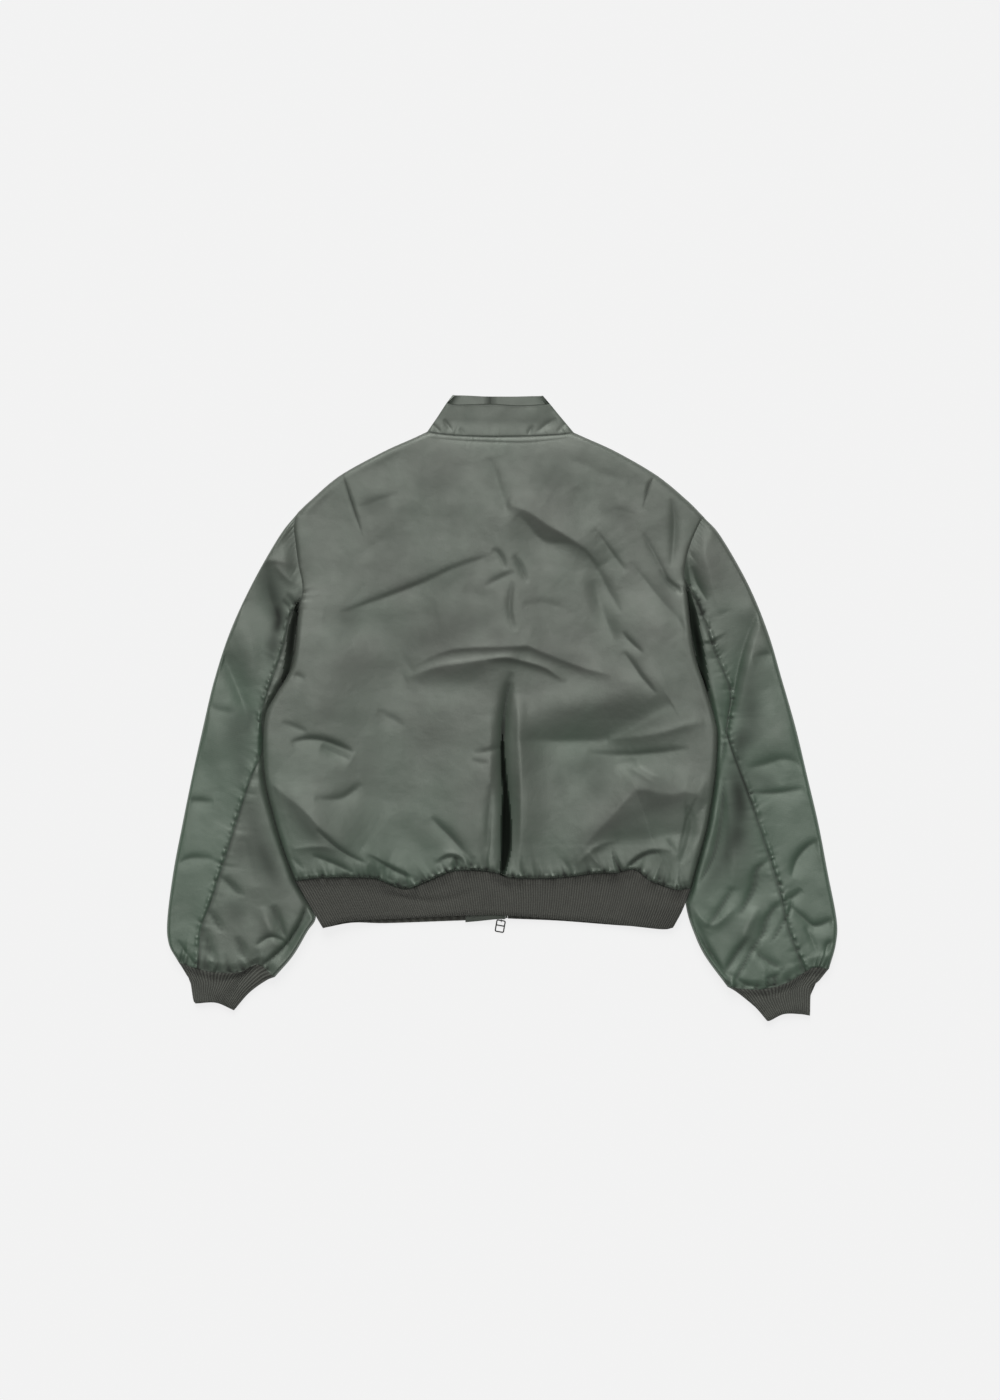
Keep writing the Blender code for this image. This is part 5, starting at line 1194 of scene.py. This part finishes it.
def buildCuff(key, shape, seamTop, seamFloor, material):
    # a flattened rib tube: the ribbed upper side, round both folds, and the underside
    side, rows, count = sides[key], shape["rows"], shape["ribs"] * shape["perRib"]
    down, share, floorShare = evenly(rows), evenly(count), evenly(count // 2)
    start, end = curveThrough(side["cuffOuter"], rows), curveThrough(side["cuffInner"], rows)
    mouth = curveThrough(side["cuffEnd"], 80)
    top = patch(atShares(seamTop[:, :2], share), atShares(mouth, share), start, end, share, down)
    seamLine, mouthLine = atShares(seamFloor, floorShare), atShares(mouth, floorShare)
    floorPlan = patch(seamLine, mouthLine, start, end, floorShare, down)
    edge, floorEdge = toEnds(top, share), toEnds(floorPlan, floorShare)
    size, often, slant = shape["wander"]
    rib = ribsOf(share[None], shape["ribs"], size * np.sin(often * share[None] + slant * down[:, None]))
    height = shape["nose"] + shape["rise"] * rollOff(edge / shape["roll"])
    height += shape["ribHeight"] * (rib - 0.5) * smooth(edge / shape["ribsFade"])
    height += undulation(top, *shape["waves"], shape["seeds"][key]) * smooth(edge / shape["wavesFade"])
    fromTop = travelled(top, 0)
    pinned = heightOn(top[0], seamTop) - shape["belowSeam"] - height[0]
    height += pinned[None] * (1 - smooth(fromTop / shape["pinned"]))
    mouthDrop = shape["mouthDrop"] * (1 - rollOff((fromTop[-1:] - fromTop) / shape["mouthRoll"], 2.0))
    height -= mouthDrop * smooth(edge / shape["ribsFade"])
    floorRib = ribsOf(floorShare[None], shape["ribs"]) * np.ones((rows + 1, 1))
    below = shape["nose"] * (1 - rollOff(floorEdge / shape["floorRoll"], 2.0))
    below += shape["floorRibHeight"] * (1 - floorRib) * smooth(floorEdge / shape["floorRibsFade"])
    skin = np.concatenate([withHeight(top, height), withHeight(floorPlan, below)[:, -2:0:-1]], axis=1)
    fields = {"rib": np.concatenate([rib, floorRib[:, -2:0:-1]], axis=1)}
    return shell("ribCuff." + key, skin, shape["wall"], material, every=6, wraps=True, fields=fields)


for key in sides:
    piece = buildCuff(key, cuffShape, *cuffSeams[key], cuffKnit)
    dress(piece, "cuff_" + key)
print("cuffs done")

# The collar
collarShape = {
    "rows": 26, "backColumns": 190, "frontColumns": 60,
    "wall": 2.6 * mm, "under": 5.0 * mm, "foldWall": 1.2 * mm,
    "thick": 3.4 * mm, "roll": 10 * mm, "pinned": 20 * mm, "topDrop": 1.2 * mm, "topRoll": 2 * mm,
    "waves": (50 * mm, 0.3 * mm, 90), "low": 0.2 * mm,
    "nose": 4.4 * mm, "frontRoll": 13 * mm, "closing": -0.05 * mm,
    "green": 0.28, "topShade": (0.9, 1.8 * mm), "seamShade": (0.6, 1.2 * mm), "shade": 0.08,
    "closingShade": (0.7, 0.5), "endsFade": 6 * mm,
}
collarCreases = (
    (-1.8, 2.5, 4, 1.3, ((-94, 376), (-88, 370), (-80, 363))),
    (-1.6, 2.5, 3, 1.3, ((-77, 380), (-71, 372), (-65, 364))),
    (-1.2, 2.5, 3, 1.3, ((-56, 369), (-52, 364), (-49, 359))),
    (-1.9, 2.5, 4, 1.3, ((72, 382), (60, 373), (44, 362))),
    (-1.5, 2.5, 3, 1.3, ((42, 372), (37, 365), (33, 358))),
    (-1.5, 2.5, 3, 1.3, ((86, 376), (80, 370), (72, 362))),
    (0.7, 14, 14, 2.0, ((-60, 386), (0, 382), (50, 386))),
)


def buildCollar(shape, seam, material):
    # one strip: the left front stretch below, the back stretch on top, and the right front stretch below
    rows, frontCount = shape["rows"], shape["frontColumns"]
    left, right = [
        frontStrip(side, "frontNeck", "collarTop", frontCount, rows, shape["closing"])
        for side in sides.values()
    ]
    share, down = evenly(shape["backColumns"]), evenly(rows)
    ends = [atShares(np.array([neckSeam[i], collarTopBack[i]]) * mm, down) for i in (0, -1)]
    top = curveThrough(collarTopBack, shape["backColumns"])
    back = patch(atShares(seam[:, :2], share), top, *ends, share, down)
    edge, fromSeam = toEnds(back, share), travelled(back, 0)
    fromTop = fromSeam[-1:] - fromSeam
    height = shape["under"] + shape["foldWall"]
    height = height + (shape["thick"] - shape["foldWall"]) * rollOff(edge / shape["roll"])
    height += creases(back, collarCreases)
    pinned = heightOn(back[0], seam) - height[0]
    height += pinned[None] * (1 - smooth(fromSeam / shape["pinned"]))
    height -= shape["topDrop"] * (1 - rollOff(fromTop / shape["topRoll"], 2.0))
    fromEnds = smooth(edge / shape["endsFade"])
    height += undulation(back, *shape["waves"]) * fromEnds
    fronts = []
    for plan in (left, right):
        fromFold = np.linalg.norm(plan - plan[:, :1], axis=-1)
        raised = shape["nose"] * (1 - rollOff(fromFold / shape["frontRoll"], 2.0))
        fronts.append(withHeight(plan, shape["low"] + raised))
    skin = np.concatenate([fronts[0][:, ::-1], withHeight(back, height)[:, 1:-1], fronts[1]], axis=1)
    # painted shade: a dark line under the top edge and along the seam, and dark closing edges at the middle;
    # the whole back stretch is also a little darker
    seams = ((fromTop, *shape["topShade"]), (fromSeam, *shape["seamShade"]))
    lines = [value * stripe(away, width) for away, value, width in seams]
    shade = np.zeros(skin.shape[:2])
    shade[:, frontCount + 1 : -frontCount - 1] = (sum(lines) * fromEnds + shape["shade"])[:, 1:-1]
    shade[:, 0], shade[:, -1] = shape["closingShade"]
    fields = {"tint": np.full(skin.shape[:2], shape["green"]), "shade": shade}
    piece = shell("standCollar", skin, shape["wall"], material, every=4, up=False, fields=fields)
    return piece, withHeight(back, height)


neckStart, neckEnd = [round(share * backShape["columns"]) for share in backShape["neck"]]
collar, collarSkin = buildCollar(collarShape, backSkin[0, neckStart : neckEnd + 1], nylon)
dress(collar, "collar")
print("collar done")

# Wind flap, zip tapes and teeth
flapShape = {
    "rows": 190, "columns": 26, "from": -49.6 * mm, "to": 2.6 * mm,
    "top": 285 * mm, "wall": 1.3 * mm, "low": 5.6 * mm,
    # the hem's height across the flap, in mm; and the soft step over the tapes: its height, start and length
    "hem": ((-49.6, -34, -12, 2.6), (-283.7, -282.4, -280.0, -279.0)), "step": (1.4 * mm, -34 * mm, 22 * mm),
    "creaseShare": 0.5, "hemDrop": 0.9 * mm, "sideDrop": 0.3 * mm, "edgeRoll": 2 * mm, "long": 560 * mm,
    "green": 0.25, "shade": 0.45,
}
flapCreases = (
    (0.5, 9, 9, 1.6, ((-40, 220), (-20, 180), (-30, 120))),
    (0.5, 9, 9, 1.6, ((-44, 20), (-22, -30), (-30, -90))),
    (-0.6, 6, 8, 1.4, ((-52, -262), (-34, -270), (-10, -268))),
)


def buildFlap(shape, material):
    # a strip over the zip, with its hem sloping up towards the zip and a soft step over the tapes
    across = np.linspace(shape["from"], shape["to"], shape["columns"] + 1)[None]
    share = evenly(shape["rows"])[:, None]
    hem = np.interp(across, *(np.array(shape["hem"]) * mm))
    y = shape["top"] + (hem - shape["top"]) * share
    plan = np.stack([centreX(y) + across, y], axis=-1)
    step, stepFrom, stepOver = shape["step"]
    height = shape["low"] + step * smooth((across - stepFrom) / stepOver)
    height = height + shape["creaseShare"] * creases(plan, flapCreases)
    height -= shape["hemDrop"] * (1 - rollOff((1 - share) * shape["long"] / shape["edgeRoll"], 2.0))
    height -= shape["sideDrop"] * (1 - rollOff((across - shape["from"]) / shape["edgeRoll"], 2.0))
    # painted shade darkens the whole flap, whose end shows in the shadow under the hem
    fields = {"tint": np.full(height.shape, shape["green"]), "shade": np.full(height.shape, shape["shade"])}
    return shell("windFlap", withHeight(plan, height), shape["wall"], material, every=4, fields=fields)


windFlap = buildFlap(flapShape, nylon)
dress(windFlap, "wind_flap")

tapeShape = {
    "rows": 260, "columns": 4, "near": 1.6 * mm, "far": 6.1 * mm, "z": 3.1 * mm, "wall": 0.8 * mm,
    "bottom": -278.3 * mm, "top": 396 * mm,
    # rise over the collar's front: its height, start and length
    "rise": (0.9 * mm, 334 * mm, 10 * mm),
    # teeth: their pitch, half sizes, share of the width at their top, place, and the ends of their row
    "toothPitch": 1.9 * mm, "tooth": (0.75 * mm, 0.50 * mm, 0.70 * mm), "toothTop": 0.7,
    "toothAside": 1.15 * mm, "toothBelow": 0.4 * mm, "firstTooth": 14 * mm, "lastTooth": 8 * mm,
}


def plainMaterial(name, colour, roughness, metallic=0.0, speckles=400.0, grain=0.0001):
    # one colour with a fine grain in it and on it
    material, nodes, surface = newMaterial(name)
    speckle = noise(nodes, node(nodes, "ShaderNodeTexCoord").outputs["Object"], speckles, 3.0, 0.6)
    darker, lighter = [tuple(part * times for part in colour) for times in (0.8, 1.2)]
    feed(surface, {
        "Base Color": mixed(nodes, speckle, darker, lighter), "Normal": bumps(nodes, (speckle, 0.5, grain)),
        "Roughness": roughness, "Metallic": metallic,
    })
    return material


tapeCloth = plainMaterial("zip tape", (0.070, 0.080, 0.062), 0.85)
zipMetal = plainMaterial("zip metal", (0.13, 0.135, 0.125), 0.42, 1.0, 900.0, 0.00004)
pullMetal = plainMaterial("pull metal", (0.022, 0.022, 0.02), 0.5, 0.5, 900.0, 0.00004)
thread = plainMaterial("thread", (0.15, 0.165, 0.13), 0.60)


def tapeHeight(shape, y):
    # height of the tapes, with their rise over the collar's front
    rise, start, over = shape["rise"]
    return shape["z"] + rise * smooth((y - start) / over)


def buildTape(key, shape, material):
    # a narrow strip along the front edge, raised a little where it lies on the collar's front
    y = np.linspace(shape["top"], shape["bottom"], shape["rows"] + 1)[:, None]
    across = np.linspace(shape["near"], shape["far"], shape["columns"] + 1)[None]
    plan = np.stack([centreX(y) + sides[key]["sign"] * across, y + 0 * across], axis=-1)
    skin = withHeight(plan, tapeHeight(shape, plan[..., 1]))
    return shell("zipTape." + key, skin, shape["wall"], material, every=1)


def buildTeeth(key, shape, material):
    # each tooth is a small block with a narrower top, clamped on the tape's edge; the rows interlock
    sign, pitch = sides[key]["sign"], shape["toothPitch"]
    y = np.arange(shape["bottom"] + shape["firstTooth"], shape["top"] - shape["lastTooth"], pitch)
    y = y + (sign + 1) * pitch / 4
    x, z = centreX(y) + sign * shape["toothAside"], tapeHeight(shape, y) - shape["toothBelow"]
    corner = np.array([(x, y, z) for z in (-1, 1) for x, y in ((-1, -1), (1, -1), (1, 1), (-1, 1))], float)
    corner[4:, :2] *= shape["toothTop"]
    points = (np.stack([x, y, z], axis=1)[:, None] + corner[None] * np.array(shape["tooth"])).reshape(-1, 3)
    block = np.array([(0, 3, 2, 1), (4, 5, 6, 7), (0, 1, 5, 4), (1, 2, 6, 5), (2, 3, 7, 6), (3, 0, 4, 7)])
    faces = (block[None] + 8 * np.arange(len(y))[:, None, None]).reshape(-1, 4)
    return meshObject("zipTeeth." + key, points, faces.tolist(), material)


zipTeeth = {}
for key in sides:
    tape, zipTeeth[key] = buildTape(key, tapeShape, tapeCloth), buildTeeth(key, tapeShape, zipMetal)
    dress(tape, "zip_tape_" + key)
    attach(zipTeeth[key], "jacket")
print("flap, tapes and teeth done")

# The slider and the wire pull
sliderShape = {
    "nose": -279.8 * mm, "length": 12.8 * mm, "half": 4.3 * mm,
    "nozzle": 3.0 * mm, "shoulder": 1.2, "aside": 1.0 * mm,
    "plate": 0.95 * mm, "low": 0.35 * mm, "high": 4.15 * mm,
    "bridge": ((-0.8, -1.8), (0.8, -1.8), (0.8, 2.2), (-0.8, 2.2)),
    # the eye: half length, half height and corners; its middle aside, past the nose and above the floor
    "eye": (1.9 * mm, 1.7 * mm, 1.0 * mm), "eyeMiddle": (-1.0 * mm, -1.8 * mm, 2.4 * mm), "eyeWire": 0.5 * mm,
}


def prism(outline, bottom, top):
    # closed block between two heights over an outline that runs anticlockwise
    count = len(outline)
    points = np.concatenate([np.column_stack([outline, np.full(count, height)]) for height in (bottom, top)])
    here = np.arange(count)
    there = (here + 1) % count
    walls = np.stack([here, there, there + count, here + count], axis=1).tolist()
    return points, [list(range(count))[::-1], list(range(count, 2 * count))] + walls


def joined(parts):
    # several meshes as one list of points and one list of faces
    points, faces, start = [], [], 0
    for partPoints, partFaces in parts:
        points.append(partPoints)
        faces += [[start + i for i in face] for face in partFaces]
        start += len(partPoints)
    return np.concatenate(points), faces


def loop(halfWide, halfLong, corner, centre):
    # closed rectangle with round corners, flat in plan: quarter circles joined by straight runs
    angle = np.linspace(0, math.pi / 2, 7)
    turns = [angle + k * math.pi / 2 for k in range(4)]
    turns = [np.column_stack([np.cos(turn), np.sin(turn)]) * corner for turn in turns]
    shift = np.array([(1, 1), (-1, 1), (-1, -1), (1, -1)]) * (halfWide - corner, halfLong - corner)
    plan = np.concatenate([turn + move for turn, move in zip(turns, shift)]) + centre
    plan = np.vstack([plan, plan[:1]])
    return np.column_stack([plan, np.zeros(len(plan))])


def buildSlider(shape, material):
    # two plates that narrow to the nose, a bridge between them, and an eye for the pull
    angle = np.linspace(0, 2 * math.pi, 40, endpoint=False)
    along, across = np.cos(angle), np.sin(angle)
    swell = shape["nozzle"] + (shape["half"] - shape["nozzle"]) * smooth((1 - along) / shape["shoulder"])
    middleY = shape["nose"] + shape["length"] / 2
    # a square with round sides: the fourth powers of its coordinates add up to one
    bulge = (along**4 + across**4) ** -0.25
    plan = np.stack([across * swell, -along * shape["length"] / 2], axis=1) * bulge[:, None]
    plan = plan + (centreX(middleY) + shape["aside"], middleY)
    low, high, plate = shape["low"], shape["high"], shape["plate"]
    aside, before, above = shape["eyeMiddle"]
    eye = loop(*shape["eye"], (shape["nose"] + before, above))[:, (2, 0, 1)] + (aside, 0, 0)
    parts = [
        prism(plan, low, low + plate),
        prism(plan, high, high + plate),
        prism(np.array(shape["bridge"]) * mm + plan.mean(0), low + 0.5 * plate, high + 0.5 * plate),
        tube(eye, shape["eyeWire"], facing=(1, 0, 0)),
    ]
    return meshObject("zipSlider", *joined(parts), material, sharp=35)


def tube(path, radius, count=12, facing=(0.0, 0.0, 1.0)):
    # wire of round section along a closed or open path, from the path's points and directions
    closed = np.allclose(path[0], path[-1])
    line = path[:-1] if closed else path
    run = np.roll(line, -1, 0) - np.roll(line, 1, 0) if closed else np.gradient(line, axis=0)
    run /= np.linalg.norm(run, axis=1, keepdims=True)
    up = np.array(facing) - run * (run @ np.array(facing))[:, None]
    up /= np.linalg.norm(up, axis=1, keepdims=True)
    aside = np.cross(run, up)
    angle = np.linspace(0, 2 * math.pi, count, endpoint=False)[None, :, None]
    points = line[:, None] + radius * (np.cos(angle) * aside[:, None] + np.sin(angle) * up[:, None])
    rings = len(line)
    i, j = np.meshgrid(np.arange(rings if closed else rings - 1), np.arange(count), indexing="ij")
    nextRing, nextSpot = (i + 1) % rings, (j + 1) % count
    ring, following = i * count, nextRing * count
    faces = np.stack([ring + j, ring + nextSpot, following + nextSpot, following + j], -1)
    faces = faces.reshape(-1, 4)[:, ::-1].tolist()
    if not closed:
        faces += [list(range(count)), [(rings - 1) * count + k for k in range(count)][::-1]]
    return points.reshape(-1, 3), faces


pullShape = {
    "pivot": (-1.0 * mm, -281.6 * mm, 2.2 * mm), "yaw": -10,
    "wide": 11.0 * mm, "long": 15.2 * mm, "corner": 1.6 * mm,
    "bar": -6.8 * mm, "wire": 0.85 * mm, "restsAt": 0.95 * mm,
}


def turned(points, axis, angle):
    # points turned about an axis of the frame
    first, second = [k for k in range(3) if k != axis]
    made = points.copy()
    made[:, first] = points[:, first] * math.cos(angle) - points[:, second] * math.sin(angle)
    made[:, second] = points[:, first] * math.sin(angle) + points[:, second] * math.cos(angle)
    return made


def buildPull(shape, material):
    # wire loop with a bar across it, that leans from the slider's eye down to the surface
    half = shape["wide"] / 2
    outer = loop(half, shape["long"] / 2, shape["corner"], (0, -shape["long"] / 2))
    bar = np.array([(x, shape["bar"], 0) for x in (-half, 0, half)])
    points, faces = joined([tube(outer, shape["wire"]), tube(bar, shape["wire"])])
    points = turned(points, 0, math.asin((shape["pivot"][2] - shape["restsAt"]) / shape["long"]))
    points = turned(points, 2, math.radians(shape["yaw"]))
    return meshObject("wirePull", points + np.array(shape["pivot"]), faces, material)


dress(buildSlider(sliderShape, zipMetal), "zip_slider")
dress(buildPull(pullShape, pullMetal), "zip_pull", "pull")
print("slider and pull done")

# Stitching
stitchShape = {
    "long": 2.1 * mm, "mostOfPitch": 0.72, "wide": 0.75 * mm, "high": 0.34 * mm,
    "deep": 0.2 * mm, "endDeep": 0.05 * mm, "sideHigh": 0.05 * mm,
}


def heightAt(plan, skin):
    # height of a surface at these places in plan: the four nearest grid points, weighted by closeness
    points = skin.reshape(-1, 3)
    near = (points[:, :2] > plan.min(0) - 5 * mm) & (points[:, :2] < plan.max(0) + 5 * mm)
    points = points[np.all(near, axis=1)]
    gap = np.linalg.norm(plan[:, None] - points[None, :, :2], axis=-1)
    nearest = np.argpartition(gap, 3, axis=1)[:, :4]
    weight = 1 / (np.take_along_axis(gap, nearest, axis=1) + 0.0001)
    return (points[nearest, 2] * weight).sum(1) / weight.sum(1)


def stitches(name, runs, shape, material):
    # each stitch is an eight-sided lozenge whose ends sink into the cloth; a run is a line, its offset,
    # its skin and its pitch
    parts = []
    for line, offset, skin, pitch in runs:
        path = curveThrough(line, 400) if isinstance(line, tuple) else line
        reach = lengths(path)[-1]
        centre = np.arange(0.5 * pitch, reach - 0.5 * pitch, pitch)
        half = 0.5 * min(shape["long"], shape["mostOfPitch"] * pitch)
        first, last = atShares(path, (centre - half) / reach), atShares(path, (centre + half) / reach)
        run = (last - first) / np.linalg.norm(last - first, axis=1, keepdims=True)
        aside = np.column_stack([-run[:, 1], run[:, 0]])
        first, last = first + offset * aside, last + offset * aside
        firstHigh, lastHigh = heightAt(first, skin), heightAt(last, skin)
        middle, level, wide = (first + last) / 2, (firstHigh + lastHigh) / 2, 0.5 * shape["wide"] * aside
        corners = (
            (first, firstHigh - shape["endDeep"]), (last, lastHigh - shape["endDeep"]),
            (middle + wide, level + shape["sideHigh"]), (middle - wide, level + shape["sideHigh"]),
            (middle, level + shape["high"]), (middle, level - shape["deep"]),
        )
        parts.append(np.stack([withHeight(plan, height) for plan, height in corners], axis=1))
    points = np.concatenate(parts)
    block = np.array([(0, 3, 4), (3, 1, 4), (1, 2, 4), (2, 0, 4), (3, 0, 5), (1, 3, 5), (2, 1, 5), (0, 2, 5)])
    faces = (block[None] + 6 * np.arange(len(points))[:, None, None]).reshape(-1, 3)
    made = meshObject(name, points.reshape(-1, 3), faces.tolist(), material, sharp=0)
    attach(made, "jacket")
    return made


darts = (((-209, 307), (-196, 265), (-185, 232)), ((201, 306), (193, 292), (187, 271)))
neckLine = ((-95, 356), (-55, 353), (-16, 351), (30, 350), (63, 353), (86, 356))
tack = ((178, 246), (180, 238), (182, 231))
collarLine = tuple((x, y - 3.2) for x, y in collarTopBack)
backStitches = stitches("backStitches", (
    (neckLine, 0, backSkin, 3.0 * mm),
    (darts[0], 0, backSkin, 3.0 * mm),
    (darts[1], 0, backSkin, 3.0 * mm),
    (tack, 1.6 * mm, backSkin, 1.6 * mm),
    (tack, -1.6 * mm, backSkin, 1.6 * mm),
    (sides["left"]["armhole"], 3.0 * mm, backSkin, 3.2 * mm),
    (sides["right"]["armhole"], -3.0 * mm, backSkin, 3.2 * mm),
    (backSkin[-1, 4:-4, :2], 2.4 * mm, backSkin, 2.6 * mm),
), stitchShape, thread)
collarStitches = stitches("collarStitches", ((collarLine, 0, collarSkin, 2.8 * mm),), stitchShape, thread)
sleeveStitches = {}
for key, side in sides.items():
    skin = underSkins[key][:, : sleeveShape["underColumns"] + 1]
    run = (skin[:, 0, :2], side["sign"] * 1.7 * mm, skin, 3.1 * mm)
    sleeveStitches[key] = stitches("sleeveStitches." + key, (run,), stitchShape, thread)
allStitches = (backStitches, collarStitches, *sleeveStitches.values())
print("stitches:", sum(len(piece.data.polygons) for piece in allStitches), "faces")

# Camera, light and floor
# metres shown across, the camera's height, what it looks at, the height of that, and the sensor's width
view = {"width": 1.32, "height": 4.0, "centre": (-0.0026, 0.0099), "level": 0.008, "sensor": 36}
eye = bpy.data.cameras.new("camera")
eye.sensor_fit = "HORIZONTAL"
eye.sensor_width = view["sensor"]
eye.lens = view["sensor"] * (view["height"] - view["level"]) / view["width"]
eye.clip_end = 20
camera = bpy.data.objects.new("camera", eye)
camera.location = (*view["centre"], view["height"])
bpy.context.scene.collection.objects.link(camera)
bpy.context.scene.camera = camera

# direction that each soft lamp shines from, its spread in degrees and its strength
lamps = {"overhead": ((-0.02, 0.17, 1.0), 24, 0.64), "top": ((-0.12, 1.0, 0.80), 36, 1.75)}
worldLight = 0.11
for name, ((fromX, fromY, fromZ), spread, strength) in lamps.items():
    lamp = bpy.data.lights.new(name, "SUN")
    lamp.angle = math.radians(spread)
    lamp.energy = strength
    holder = bpy.data.objects.new(name, lamp)
    holder.rotation_euler = (math.atan2(math.hypot(fromX, fromY), fromZ), 0, math.atan2(fromX, -fromY))
    bpy.context.scene.collection.objects.link(holder)
world = bpy.data.worlds.new("studio")
world.use_nodes = True
world.node_tree.nodes["Background"].inputs["Color"].default_value = (1, 1, 1, 1)
world.node_tree.nodes["Background"].inputs["Strength"].default_value = worldLight
bpy.context.scene.world = world
bpy.context.scene.view_settings.view_transform = "Standard"

floorMaterial, _, surface = newMaterial("pale floor")
feed(surface, {
    "Base Color": (0.15, 0.15, 0.15), "Roughness": 0.9, "Specular IOR Level": 0.1,
    "Emission Color": (1.0, 1.0, 1.0), "Emission Strength": 0.79,
})
corners = 6.0 * np.array([(-1, -1, 0), (1, -1, 0), (1, 1, 0), (-1, 1, 0)])
floor = meshObject("floor", corners, [(0, 1, 2, 3)], floorMaterial)
